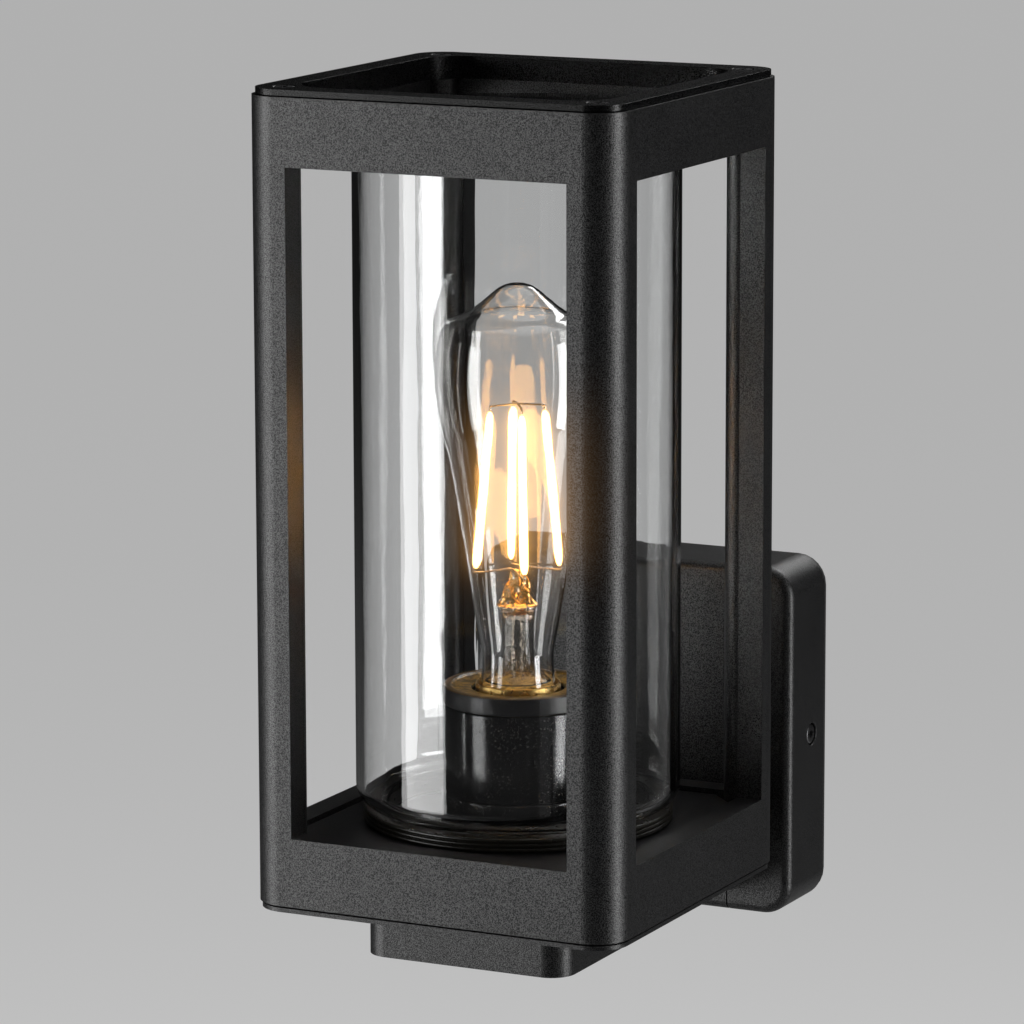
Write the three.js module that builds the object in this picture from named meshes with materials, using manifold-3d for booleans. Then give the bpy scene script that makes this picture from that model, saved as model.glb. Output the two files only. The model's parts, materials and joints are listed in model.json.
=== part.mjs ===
// Outdoor wall lantern: an open square cage round a glass jar, on an arm from a square wall box.
//
// Millimetres, +Z up. The wall is the plane y = 0 and the lantern stands out from it along -Y.
// The origin is the middle of the mounting bracket's back. Pieces of the head (cage, jar, holder
// and bulb) are drawn about the jar's own axis with z = 0 at the cage's bottom edge, and the
// group called head carries them to their place.

import * as THREE from "three";
import { mergeVertices } from "three/addons/utils/BufferGeometryUtils.js";
import Module from "manifold-3d";

const wasm = await Module();
wasm.setup();

// ---- driving dimensions -------------------------------------------------------------------

const GAP = 0.3; // room between two pieces that touch
const ARC_STEPS = 3; // an arc of an outline gets twice this many straight steps
const ROUND = 32; // sides of the large turned pieces
const ROUND_SMALL = 12; // sides of screws and small holes

const AXIS_OUT = 111; // jar axis to wall
const HEAD_DROP = 31.7; // cage's bottom edge below the bracket's middle

const CAGE = { half: 62.5, corner: 11.1, height: 249.9, leg: 8.4, innerCorner: 1.2 };
const WINDOW = { half: 46.9, low: 21.6, high: 228.8 };
const COLUMN = { at: 52.3, radius: 4.8, pilotDepth: 14 };
const CAGE_INNER = CAGE.half - CAGE.leg;

const RING = { half: 61.4, corner: 10, top: 252.1, skirtLow: 244.9, opening: 52, openingCorner: 13 };
const PLATE = { half: 61.5, corner: 10.1, low: -2.1, high: -GAP };
const TRAY = { half: CAGE_INNER - GAP, flat: 43.4, high: 20, wall: 2.5, hub: 47, hubLow: 11, boss: 4.2 };
const WIRE_HOLE = 11; // radius of the wiring hole on the axis
const PILOT = 1.85; // radius of the plain hole that a small screw cuts its thread in

const JAR = { outer: 50.7, wall: 2.5, top: 242.2, topRound: 3, shoulder: 25, shoulderRound: 7 };
const NECK = { outer: 43.5, low: 14.5, grooveRoom: 0.4 };
const GASKET = { outer: 48.4, ribDepth: 0.7, ribs: 3, low: TRAY.high + GAP, high: JAR.shoulder - GAP };

const ARM = { half: 34.9, front: 39.7, corner: 8, drop: 19, wall: 3, roofFrom: -55, boss: 4 };
const BOX = { half: 57.25, corner: 10, front: -29.2, back: -1.8, wall: 3, edge: 3, innerCorner: 7 };
const BOX_INNER = BOX.half - BOX.wall;
const BOX_FLOOR = BOX.front + BOX.wall; // inner face of the box's front wall
const SEAL = { half: 56.9, corner: 9.7, inner: 53.9, innerCorner: 6.5, thick: 1.5 };

const BRACKET = { half: 51.4, rise: 14, thick: 2, earRise: 10, earOut: 22, tabHalf: 12, tabTop: 44 };
const SLOT = { x: 38, length: 10, width: 5 };
const SIDE_SCREW = { y: -11.7, pad: 6, padReach: 51.7, seat: 54.85, seatRadius: 3.7, holeStart: 45 };
const CABLE_HOLE = { x: 22, radius: 6.3 };
const GROMMET = { bore: 3.5, rim: 8.6, rimTop: 7.6, high: 2.2 };
const LUG = { x: -24, y: -8, half: 8, out: 16, top: -BRACKET.rise, thick: 2 };
const BLOCK = {
  half: 17, thick: 13, low: 22, high: 38, poles: [-11, 0, 11], well: 2.2, entry: 1.6,
  fixingX: 5.5, fixingSeat: 3.1, fixingDepth: 4,
};
const BLOCK_MIDDLE = (BLOCK.low + BLOCK.high) / 2;
const BLOCK_FRONT = -BRACKET.thick - GAP - BLOCK.thick;

const FLANGE = { half: 46, thick: 3, top: -24, screwX: 40.6, screwZ: -42.7, hole: 2.3 };
const DUCT = { half: 20, low: -47.7, high: -35.2 };
const EARTH_RING = { outer: 4.2, inner: 2.35, thick: 0.8, tongue: 1.2, reach: 6.4 };

const SMALL_SCREW = { head: 3.3, headHeight: 1.5, shank: 1.5, socket: 1.5, socketDepth: 0.9 };
const PAN_SCREW = { head: 3.3, headHeight: 1.8, shank: 2, socket: 1.5, socketDepth: 1.1 };
const TERMINAL_SCREW = { head: 1.8, headHeight: 2, shank: 1.2, socket: 0.9, socketDepth: 0.8 };
const HOLDER = {
  base: 24, baseTop: 29, floor: 2.5, sleeve: 23, sleeveTop: 57, bore: 20.6, screwX: 15.5,
  collar: 23.5, collarTop: 63, collarLip: 2.4, mouth: 14.5, skirtRoom: 0.6,
};
const INSERT = { outer: 20.2, inner: 14.9, low: 31, floor: 34.5, high: 56 };
const SHELL = { outer: 14.3, inner: 13.6, hole: 6, high: 59.8, thick: 0.7 };
const TRAY_SCREW_X = 44;
const PLATE_SCREW_Y = [-30, 40];
const SCREW_LENGTH = {
  ring: 16, base: 14, tray: 10, plate: 11, holder: 11,
  box: 10.5, arm: 7.2, terminal: 3.6, block: 12.7, earth: 8,
};
const SCREW_SINK = 0.1; // how far a countersunk head lies below its sheet

const THREAD = { pitch: 3.629, crest: 13.1, root: 12.2, low: 45.5, high: 56.5 };
const CAP = { rimLow: 44, wall: 0.65, shoulder: 58.4, skirt: 13.2, high: 63.4 };
const GLASS_WALL = 1;
const FILAMENT = { count: 4, topRadius: 8.5, top: 149, footRadius: 13, foot: 100, radius: 1.1, turn: 26.3 };
const LEAD = 1.1; // radius of an insulated lead
const LEAD_APART = 8; // how far each supply lead runs beside the middle

const FINISH = {
  powderCoat: { color: 0x35363a, roughness: 0.62, metalness: 0.25 },
  zincSteel: { color: 0x9a9c9e, roughness: 0.42, metalness: 0.9 },
  blackScrew: { color: 0x1b1b1d, roughness: 0.4, metalness: 0.8 },
  blackPlastic: { color: 0x111112, roughness: 0.3, metalness: 0 },
  rubber: { color: 0x1c1b1a, roughness: 0.85, metalness: 0 },
  silicone: { color: 0x2b2620, roughness: 0.4, metalness: 0 },
  whitePlastic: { color: 0xe4e2dc, roughness: 0.5, metalness: 0 },
  insert: { color: 0xdedbd2, roughness: 0.35, metalness: 0 },
  brass: { color: 0xb8934a, roughness: 0.35, metalness: 0.95 },
  nickel: { color: 0xb9b6ae, roughness: 0.3, metalness: 0.95 },
  glass: { color: 0xf2f6f6, roughness: 0.03, metalness: 0, transparent: true, opacity: 0.25 },
  phosphor: { color: 0xffc766, roughness: 0.5, metalness: 0, emissive: 0xffb050 },
  brownLead: { color: 0x5a3320, roughness: 0.5, metalness: 0 },
  blueLead: { color: 0x1f4f9a, roughness: 0.5, metalness: 0 },
  greenLead: { color: 0x6f9a2c, roughness: 0.5, metalness: 0 },
};

// ---- solids -------------------------------------------------------------------------------

// A closed geometry as a manifold, without the zero-area triangles that a pole leaves.
function solid(geometry) {
  const bare = geometry.clone();
  bare.deleteAttribute("normal");
  bare.deleteAttribute("uv");
  const merged = mergeVertices(bare, 1e-4);
  const corners = merged.index.array;
  const kept = [];
  for (let i = 0; i < corners.length; i += 3) {
    const [a, b, c] = corners.slice(i, i + 3);
    if (a !== b && b !== c && c !== a) kept.push(a, b, c);
  }
  return new wasm.Manifold(new wasm.Mesh({
    numProp: 3,
    vertProperties: new Float32Array(merged.attributes.position.array),
    triVerts: new Uint32Array(kept),
  }));
}

function geometryOf(manifold) {
  const mesh = manifold.getMesh();
  const geometry = new THREE.BufferGeometry();
  geometry.setAttribute("position", new THREE.BufferAttribute(mesh.vertProperties, 3));
  geometry.setIndex(new THREE.BufferAttribute(mesh.triVerts, 1));
  geometry.computeVertexNormals();
  return geometry;
}

function join(...geometries) {
  return geometryOf(geometries.map(solid).reduce((whole, piece) => whole.add(piece)));
}

function cut(geometry, ...tools) {
  return geometryOf(tools.reduce((whole, tool) => whole.subtract(solid(tool)), solid(geometry)));
}

function common(geometry, other) {
  return geometryOf(solid(geometry).intersect(solid(other)));
}

// ---- basic shapes -------------------------------------------------------------------------

function slab(x0, x1, y0, y1, z0, z1) {
  const box = new THREE.BoxGeometry(x1 - x0, y1 - y0, z1 - z0);
  return box.translate((x0 + x1) / 2, (y0 + y1) / 2, (z0 + z1) / 2);
}

function roundedSquare(half, radius) {
  const outline = new THREE.Shape();
  const quarter = Math.PI / 2;
  const inner = half - radius;
  [[inner, inner], [-inner, inner], [-inner, -inner], [inner, -inner]].forEach(([x, y], i) => {
    outline.absarc(x, y, radius, i * quarter, (i + 1) * quarter);
  });
  return outline;
}

// A square whose corners are cut off where the flat stretches end.
function clippedSquare(half, flat) {
  const outline = new THREE.Shape();
  outline.moveTo(half, -flat);
  outline.lineTo(half, flat);
  outline.lineTo(flat, half);
  outline.lineTo(-flat, half);
  outline.lineTo(-half, flat);
  outline.lineTo(-half, -flat);
  outline.lineTo(-flat, -half);
  outline.lineTo(flat, -half);
  outline.closePath();
  return outline;
}

function prism(outline, z0, z1, hole) {
  if (hole) outline.holes.push(hole);
  const options = { depth: z1 - z0, bevelEnabled: false, curveSegments: ARC_STEPS };
  return new THREE.ExtrudeGeometry(outline, options).translate(0, 0, z0);
}

// An upright prism turned to run along Y: what was up now points to the wall's outside.
function towardsFront(geometry) {
  return geometry.rotateX(Math.PI / 2);
}

// Turns a profile of [radius, height] pairs about the Z axis.
function turned(profile, sides = ROUND) {
  const points = profile.map(([radius, z]) => new THREE.Vector2(radius, z));
  return new THREE.LatheGeometry(points, sides).rotateX(Math.PI / 2);
}

function closed(profile) {
  return [...profile, profile[0]];
}

function arc(centreRadius, centreZ, radius, from, to, steps) {
  return Array.from({ length: steps + 1 }, (_, i) => {
    const angle = THREE.MathUtils.degToRad(from + ((to - from) * i) / steps);
    return [centreRadius + radius * Math.cos(angle), centreZ + radius * Math.sin(angle)];
  });
}

// A straight round bar between two points.
function bar(from, to, radius, sides = ROUND_SMALL) {
  const start = new THREE.Vector3(...from);
  const way = new THREE.Vector3(...to).sub(start);
  const geometry = new THREE.CylinderGeometry(radius, radius, way.length(), sides);
  const up = new THREE.Vector3(0, 1, 0);
  geometry.applyQuaternion(new THREE.Quaternion().setFromUnitVectors(up, way.clone().normalize()));
  const middle = start.add(way.multiplyScalar(0.5));
  return geometry.translate(middle.x, middle.y, middle.z);
}

function lead(points, steps) {
  const path = new THREE.CatmullRomCurve3(points.map((point) => new THREE.Vector3(...point)));
  const section = new THREE.Shape();
  const sides = 6;
  for (let i = 0; i < sides; i += 1) {
    const angle = (i / sides) * 2 * Math.PI;
    const corner = [LEAD * Math.cos(angle), LEAD * Math.sin(angle)];
    if (i === 0) section.moveTo(...corner);
    else section.lineTo(...corner);
  }
  return new THREE.ExtrudeGeometry(section, { steps, extrudePath: path });
}

// A screw whose head's top is at the origin and whose shank runs down -Z.
function screwGeometry(size, length, countersunk) {
  const { head, headHeight, shank, socket, socketDepth } = size;
  const underHead = countersunk ? [] : [[head, -headHeight]];
  const profile = [
    [0, -length], [shank, -length], [shank, -headHeight], ...underHead, [head, 0], [0, 0],
  ];
  const keyway = new THREE.CylinderGeometry(socket, socket, 2 * socketDepth, 6).rotateX(Math.PI / 2);
  return cut(turned(profile, ROUND_SMALL), keyway);
}

// The hole that a countersunk screw needs, through a sheet whose outer face is at the origin.
function sunkHole(size, depth) {
  const headRoom = size.head + GAP;
  const shankRoom = size.shank + GAP + 0.05;
  const profile = [
    [0, -depth], [shankRoom, -depth], [shankRoom, -size.headHeight - GAP],
    [headRoom, 0.05 - GAP / 2], [headRoom, 1], [0, 1],
  ];
  return turned(profile, ROUND_SMALL);
}

const DOWN = new THREE.Vector3(0, 0, -1);

// ---- assembly helpers ---------------------------------------------------------------------

const lantern = new THREE.Group();
const head = new THREE.Group();
head.position.set(0, -AXIS_OUT, -HEAD_DROP);
lantern.add(head);

function place(group, name, geometry, finish) {
  const mesh = new THREE.Mesh(geometry, new THREE.MeshStandardMaterial(finish));
  mesh.name = name;
  group.add(mesh);
  return mesh;
}

function placeScrew(group, name, options) {
  const { size, length, countersunk = false, position, direction, finish } = options;
  const mesh = place(group, name, screwGeometry(size, length, countersunk), finish);
  mesh.quaternion.setFromUnitVectors(DOWN, new THREE.Vector3(...direction));
  mesh.position.set(...position);
}

const CORNERS = [[-1, -1], [1, -1], [1, 1], [-1, 1]].map(([x, y]) => [x * COLUMN.at, y * COLUMN.at]);

// ---- head: cage, ring and bottom plate ----------------------------------------------------

function cageGeometry() {
  const walls = prism(
    roundedSquare(CAGE.half, CAGE.corner), 0, CAGE.height,
    roundedSquare(CAGE_INNER, CAGE.innerCorner),
  );
  const reach = CAGE.half + 1;
  const windows = [
    slab(-WINDOW.half, WINDOW.half, -reach, reach, WINDOW.low, WINDOW.high),
    slab(-reach, reach, -WINDOW.half, WINDOW.half, WINDOW.low, WINDOW.high),
  ];
  const columnTop = RING.skirtLow - GAP;
  const columns = CORNERS.map(([x, y]) => bar([x, y, 0], [x, y, columnTop], COLUMN.radius));
  const pilots = CORNERS.flatMap(([x, y]) => [
    bar([x, y, -1], [x, y, COLUMN.pilotDepth], PILOT),
    bar([x, y, columnTop - COLUMN.pilotDepth], [x, y, columnTop + 1], PILOT),
  ]);
  return cut(join(cut(walls, ...windows), ...columns), ...pilots);
}

function topRingGeometry() {
  const flange = prism(roundedSquare(RING.half, RING.corner), CAGE.height + GAP, RING.top);
  const skirt = prism(
    roundedSquare(CAGE_INNER - GAP, CAGE.innerCorner - GAP), RING.skirtLow, CAGE.height + 1,
  );
  const opening = prism(
    roundedSquare(RING.opening, RING.openingCorner), RING.skirtLow - 1, RING.top + 1,
  );
  const holes = CORNERS.map(([x, y]) => sunkHole(SMALL_SCREW, 12).translate(x, y, RING.top));
  return cut(join(flange, skirt), opening, ...holes);
}

function basePlateGeometry() {
  const plate = prism(roundedSquare(PLATE.half, PLATE.corner), PLATE.low, PLATE.high);
  const wiring = bar([0, 0, -5], [0, 0, 5], WIRE_HOLE, ROUND);
  const fromBelow = [...CORNERS, [-TRAY_SCREW_X, 0], [TRAY_SCREW_X, 0]].map(([x, y]) =>
    sunkHole(SMALL_SCREW, 5).rotateX(Math.PI).translate(x, y, PLATE.low));
  const fromAbove = PLATE_SCREW_Y.map((y) => sunkHole(SMALL_SCREW, 5).translate(0, y, PLATE.high));
  return cut(plate, wiring, ...fromBelow, ...fromAbove);
}

// An upside-down tray that stands on the bottom plate inside the cage. Its thick hub holds the
// groove for the jar's neck and the screws of the lampholder.
function seatTrayGeometry() {
  const { half, flat, high, wall, hub, hubLow, boss } = TRAY;
  const sides = [-1, 1];
  const outside = prism(clippedSquare(half, flat), 0, high);
  const inside = prism(clippedSquare(half - wall, flat - wall / 2), -1, high - wall);
  const hubDisc = bar([0, 0, hubLow], [0, 0, high], hub, ROUND);
  const bosses = sides.map((side) =>
    bar([side * TRAY_SCREW_X, 0, 0], [side * TRAY_SCREW_X, 0, hubLow + 1], boss));
  const groove = turned(closed([
    [NECK.outer - JAR.wall - NECK.grooveRoom, NECK.low - GAP],
    [NECK.outer + NECK.grooveRoom, NECK.low - GAP],
    [NECK.outer + NECK.grooveRoom, high + 1],
    [NECK.outer - JAR.wall - NECK.grooveRoom, high + 1],
  ]));
  const wiring = bar([0, 0, -1], [0, 0, high + 1], WIRE_HOLE, ROUND);
  const pilotDepth = 9;
  const pilots = sides.flatMap((side) => [
    bar([side * HOLDER.screwX, 0, hubLow + 1], [side * HOLDER.screwX, 0, high + 1], PILOT),
    bar([side * TRAY_SCREW_X, 0, -1], [side * TRAY_SCREW_X, 0, pilotDepth], PILOT),
  ]);
  return cut(join(cut(outside, inside), hubDisc, ...bosses), groove, wiring, ...pilots);
}

function addCage() {
  place(head, "cage", cageGeometry(), FINISH.powderCoat);
  place(head, "top_ring", topRingGeometry(), FINISH.powderCoat);
  place(head, "base_plate", basePlateGeometry(), FINISH.powderCoat);
  place(head, "seat_tray", seatTrayGeometry(), FINISH.powderCoat);
  CORNERS.forEach(([x, y], i) => {
    placeScrew(head, `ring_screw_${i + 1}`, {
      size: SMALL_SCREW, length: SCREW_LENGTH.ring, countersunk: true,
      position: [x, y, RING.top - SCREW_SINK], direction: [0, 0, -1], finish: FINISH.blackScrew,
    });
    placeScrew(head, `base_screw_${i + 1}`, {
      size: SMALL_SCREW, length: SCREW_LENGTH.base, countersunk: true,
      position: [x, y, PLATE.low + SCREW_SINK], direction: [0, 0, 1], finish: FINISH.blackScrew,
    });
  });
  [["left", -1], ["right", 1]].forEach(([side, sign]) => {
    placeScrew(head, `tray_screw_${side}`, {
      size: SMALL_SCREW, length: SCREW_LENGTH.tray, countersunk: true,
      position: [sign * TRAY_SCREW_X, 0, PLATE.low + SCREW_SINK], direction: [0, 0, 1],
      finish: FINISH.blackScrew,
    });
  });
  ["front", "back"].forEach((side, i) => {
    placeScrew(head, `plate_screw_${side}`, {
      size: SMALL_SCREW, length: SCREW_LENGTH.plate, countersunk: true,
      position: [0, PLATE_SCREW_Y[i], PLATE.high - SCREW_SINK], direction: [0, 0, -1],
      finish: FINISH.zincSteel,
    });
  });
}

// ---- jar and its seal ---------------------------------------------------------------------

function jarGeometry() {
  const { outer, wall, top, topRound, shoulder, shoulderRound } = JAR;
  const inner = outer - wall;
  const neckInner = NECK.outer - wall;
  const innerRound = shoulderRound - wall;
  const outside = [
    [NECK.outer, NECK.low], [NECK.outer, shoulder],
    ...arc(outer - shoulderRound, shoulder + shoulderRound, shoulderRound, -80, 0, 3),
    ...arc(outer - topRound, top - topRound, topRound, 0, 90, 2),
  ];
  const inside = [
    [0, top - wall],
    ...arc(inner - topRound, top - wall - topRound, topRound, 90, 0, 1),
    ...arc(inner - innerRound, shoulder + shoulderRound, innerRound, 0, -80, 2),
    [neckInner, shoulder + wall], [neckInner, NECK.low],
  ];
  return turned([...inside, ...outside, [0, top]]);
}

function gasketGeometry() {
  const { outer, ribDepth, ribs, low, high } = GASKET;
  const inner = NECK.outer + NECK.grooveRoom;
  const pitch = (high - low) / ribs;
  const ribbed = Array.from({ length: ribs }, (_, i) => [
    [outer - ribDepth, low + i * pitch],
    [outer, low + (i + 0.5) * pitch],
  ]).flat();
  return turned(closed([[inner, low], ...ribbed, [outer - ribDepth, high], [inner, high]]));
}

// ---- lampholder ---------------------------------------------------------------------------

function addHolder() {
  const { base, baseTop, sleeve, sleeveTop, collar, collarTop, collarLip, bore, mouth } = HOLDER;
  const seat = TRAY.high + GAP;
  const floor = seat + HOLDER.floor;
  const baseBody = turned(closed([
    [WIRE_HOLE, seat], [base, seat], [base, baseTop], [bore, baseTop], [bore, floor], [WIRE_HOLE, floor],
  ]));
  const screwHoles = [-1, 1].map((side) =>
    bar([side * HOLDER.screwX, 0, 0], [side * HOLDER.screwX, 0, floor + 1], PILOT));
  place(head, "holder_base", cut(baseBody, ...screwHoles), FINISH.blackPlastic);
  [["left", -1], ["right", 1]].forEach(([side, sign]) => {
    placeScrew(head, `holder_screw_${side}`, {
      size: { ...SMALL_SCREW, head: 2.8 }, length: SCREW_LENGTH.holder,
      position: [sign * HOLDER.screwX, 0, floor + GAP + SMALL_SCREW.headHeight], direction: [0, 0, -1],
      finish: FINISH.zincSteel,
    });
  });
  const sleeveLow = baseTop + GAP;
  place(head, "holder_sleeve", turned(closed([
    [bore, sleeveLow], [sleeve, sleeveLow], [sleeve, sleeveTop], [bore, sleeveTop],
  ])), FINISH.blackPlastic);
  const collarLow = sleeveTop + GAP;
  const lipLow = collarTop - collarLip;
  const collarBore = bore + HOLDER.skirtRoom;
  place(head, "holder_collar", turned(closed([
    [mouth, lipLow], [collarBore, lipLow], [collarBore, collarLow], [collar, collarLow],
    [collar, collarTop - 0.6], [collar - 0.6, collarTop], [mouth, collarTop],
  ])), FINISH.blackPlastic);
  place(head, "holder_insert", turned([
    [0, INSERT.low], [INSERT.outer, INSERT.low], [INSERT.outer, INSERT.high],
    [INSERT.inner, INSERT.high], [INSERT.inner, INSERT.floor], [0, INSERT.floor],
  ]), FINISH.insert);
  const shellLow = INSERT.floor + GAP;
  place(head, "socket_shell", turned(closed([
    [SHELL.hole, shellLow], [SHELL.outer, shellLow], [SHELL.outer, SHELL.high],
    [SHELL.inner, SHELL.high], [SHELL.inner, shellLow + SHELL.thick], [SHELL.hole, shellLow + SHELL.thick],
  ])), FINISH.brass);
  place(head, "socket_contact", turned([
    [0, shellLow], [4.5, shellLow], [4.5, 36.4], [2.5, 36.4], [2.2, 37.2], [0, 37.2],
  ], ROUND_SMALL), FINISH.brass);
}

// ---- bulb ---------------------------------------------------------------------------------

// A closed profile of rows { radius, z, thread } turned about Z; thread is the height of a
// right-hand helical ridge on that row.
function threadedTube(rows, sides, pitch) {
  const positions = [];
  rows.forEach(({ radius, z, thread }) => {
    for (let j = 0; j < sides; j += 1) {
      const angle = (j / sides) * 2 * Math.PI;
      const ridge = thread * 0.5 * (1 + Math.cos((2 * Math.PI * z) / pitch - angle));
      positions.push((radius + ridge) * Math.cos(angle), (radius + ridge) * Math.sin(angle), z);
    }
  });
  const index = [];
  rows.forEach((_, i) => {
    const here = i * sides;
    const next = ((i + 1) % rows.length) * sides;
    for (let j = 0; j < sides; j += 1) {
      const k = (j + 1) % sides;
      index.push(here + j, here + k, next + j, here + k, next + k, next + j);
    }
  });
  const geometry = new THREE.BufferGeometry();
  geometry.setAttribute("position", new THREE.Float32BufferAttribute(positions, 3));
  geometry.setIndex(index);
  geometry.computeVertexNormals();
  return geometry;
}

function bulbCapGeometry() {
  const { pitch, crest, root, low, high } = THREAD;
  const stepsPerTurn = 4;
  const step = pitch / stepsPerTurn;
  const count = Math.round((high - low) / step);
  const threaded = Array.from({ length: count + 1 }, (_, i) => ({
    radius: root, z: low + i * step, thread: i === 0 || i === count ? 0 : crest - root,
  }));
  const plain = (radius, z) => ({ radius, z, thread: 0 });
  const skirtInner = CAP.skirt - CAP.wall;
  const threadInner = root - CAP.wall + 0.05;
  const rows = [
    plain(9, CAP.rimLow), plain(threadInner, CAP.rimLow), ...threaded,
    plain(root + 0.2, CAP.shoulder - 0.8), plain(CAP.skirt, CAP.shoulder), plain(CAP.skirt, CAP.high),
    plain(skirtInner, CAP.high), plain(skirtInner, CAP.shoulder + 0.4),
    plain(threadInner, CAP.shoulder - 0.4), plain(threadInner, CAP.rimLow + 1.4),
    plain(9, CAP.rimLow + 0.8),
  ];
  return threadedTube(rows, 20, pitch);
}

// The outside of the glass from its neck to its tip.
const BULB_OUTLINE = [
  [12.1, 60.5], [11.1, 72], [13.2, 85], [18.9, 121], [24, 146], [25.3, 158], [24.5, 169.5],
  [22.2, 176.6], [17, 179.3], [10, 183.7], [5.5, 187.6], [0, 189.2],
];

// The stem: a hollow flare from the neck, a tube, and a solid pinch that the wires come out of.
const STEM_OUTLINE = [
  [0, 84], [3.8, 82], [4, 73], [5.4, 68.6], [9.2, 64],
  [10.2, 64], [6.6, 68], [5.2, 73], [5, 86], [6, 88.2], [4.9, 93], [3.4, 98.2], [0, 99.3],
];

// The same outline moved inwards by the wall.
function insetOutline(outline, wall) {
  return outline.map(([radius, z], i) => {
    const before = outline[Math.max(i - 1, 0)];
    const after = outline[Math.min(i + 1, outline.length - 1)];
    const run = [after[0] - before[0], after[1] - before[1]];
    const length = Math.hypot(...run);
    const inwards = [-run[1] / length, run[0] / length];
    if (radius === 0) return [0, z - wall];
    if (i === 0) return [radius - wall, z];
    return [Math.max(radius + wall * inwards[0], 0), z + wall * inwards[1]];
  });
}

// A point beside filament number i, at a radius and a height.
function besideFilament(i, radius, z) {
  const angle = THREE.MathUtils.degToRad(FILAMENT.turn + (i * 360) / FILAMENT.count);
  return [radius * Math.cos(angle), radius * Math.sin(angle), z];
}

// The wire from the stem's tip to the feet of two neighbouring filaments.
function leadInGeometry(first) {
  const start = besideFilament(first + 0.5, 2, FILAMENT.foot + 0.9);
  const wires = [first, first + 1].map((i) =>
    bar(start, besideFilament(i, FILAMENT.footRadius + 0.6, FILAMENT.foot - 1.3), 0.45, 6));
  return join(...wires);
}

function topLinkGeometry() {
  const hub = [0, 0, FILAMENT.top + 2.4];
  const wires = Array.from({ length: FILAMENT.count }, (_, i) =>
    bar(hub, besideFilament(i, FILAMENT.topRadius, FILAMENT.top + 1), 0.5, 6));
  return join(...wires);
}

function addBulb() {
  const inside = insetOutline(BULB_OUTLINE, GLASS_WALL).reverse();
  place(head, "bulb_glass", turned([...inside, ...BULB_OUTLINE], 24), FINISH.glass);
  place(head, "bulb_cap", bulbCapGeometry(), FINISH.brass);
  place(head, "cap_insulator", turned([
    [0, 39.3], [6, 39.3], [10.2, 43.2], [10.2, 43.7], [0, 43.7],
  ], ROUND_SMALL), FINISH.blackPlastic);
  place(head, "tip_contact", turned([
    [0, 37.5], [3.6, 37.5], [4.6, 38.2], [4.6, 39], [0, 39],
  ], ROUND_SMALL), FINISH.nickel);
  place(head, "bulb_stem", turned(STEM_OUTLINE, ROUND_SMALL), FINISH.glass);
  for (let i = 0; i < FILAMENT.count; i += 1) {
    const foot = besideFilament(i, FILAMENT.footRadius, FILAMENT.foot);
    const top = besideFilament(i, FILAMENT.topRadius, FILAMENT.top);
    place(head, `filament_${i + 1}`, bar(foot, top, FILAMENT.radius, 8), FINISH.phosphor);
  }
  place(head, "lead_in_live", leadInGeometry(0), FINISH.nickel);
  place(head, "lead_in_neutral", leadInGeometry(2), FINISH.nickel);
  place(head, "filament_link", topLinkGeometry(), FINISH.nickel);
}

// ---- wall box, arm and bracket ------------------------------------------------------------

function boxOutside() {
  const { half, corner, edge, front, back } = BOX;
  const options = {
    depth: -front - edge, bevelEnabled: true, bevelSize: edge, bevelThickness: edge,
    bevelOffset: -edge, bevelSegments: 3, curveSegments: ARC_STEPS,
  };
  const blank = towardsFront(new THREE.ExtrudeGeometry(roundedSquare(half, corner), options));
  return common(blank, slab(-half - 1, half + 1, front - 1, back, -half - 1, half + 1));
}

function alongY(outline, yFront, yBack, hole) {
  return towardsFront(prism(outline, -yBack, -yFront, hole));
}

const ARM_TOP = -HEAD_DROP + PLATE.low - GAP;
const ARM_LOW = -HEAD_DROP - ARM.drop;
const ARM_FRONT = -AXIS_OUT - ARM.front;
const NOTCH = { half: ARM.half + GAP, top: ARM_TOP + GAP };

function wallBoxGeometry() {
  const { half, front, back, innerCorner } = BOX;
  const hollow = alongY(roundedSquare(BOX_INNER, innerCorner), BOX_FLOOR, back + 1);
  const notch = slab(-NOTCH.half, NOTCH.half, front - 1, BOX_FLOOR, -half - 1, NOTCH.top);
  const sides = [-1, 1];
  const across = (side, from, to, radius) =>
    bar([side * from, SIDE_SCREW.y, 0], [side * to, SIDE_SCREW.y, 0], radius);
  const pads = sides.map((side) => across(side, SIDE_SCREW.padReach, BOX_INNER + 1, SIDE_SCREW.pad));
  const screwHoles = sides.flatMap((side) => [
    across(side, SIDE_SCREW.holeStart, half + 1, PAN_SCREW.shank + GAP),
    across(side, SIDE_SCREW.seat, half + 1, SIDE_SCREW.seatRadius),
  ]);
  const pilotEnd = BOX_FLOOR - 2.2;
  const pilots = sides.map((side) =>
    bar([side * FLANGE.screwX, pilotEnd, FLANGE.screwZ], [side * FLANGE.screwX, -20, FLANGE.screwZ], PILOT));
  return cut(join(cut(boxOutside(), hollow), ...pads), notch, ...screwHoles, ...pilots);
}

function armOutline() {
  const { half, corner } = ARM;
  const back = BOX_FLOOR - 1;
  const quarter = Math.PI / 2;
  const outline = new THREE.Shape();
  outline.moveTo(half, back);
  outline.lineTo(-half, back);
  outline.absarc(-half + corner, ARM_FRONT + corner, corner, 2 * quarter, 3 * quarter);
  outline.absarc(half - corner, ARM_FRONT + corner, corner, 3 * quarter, 4 * quarter);
  return outline;
}

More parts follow.
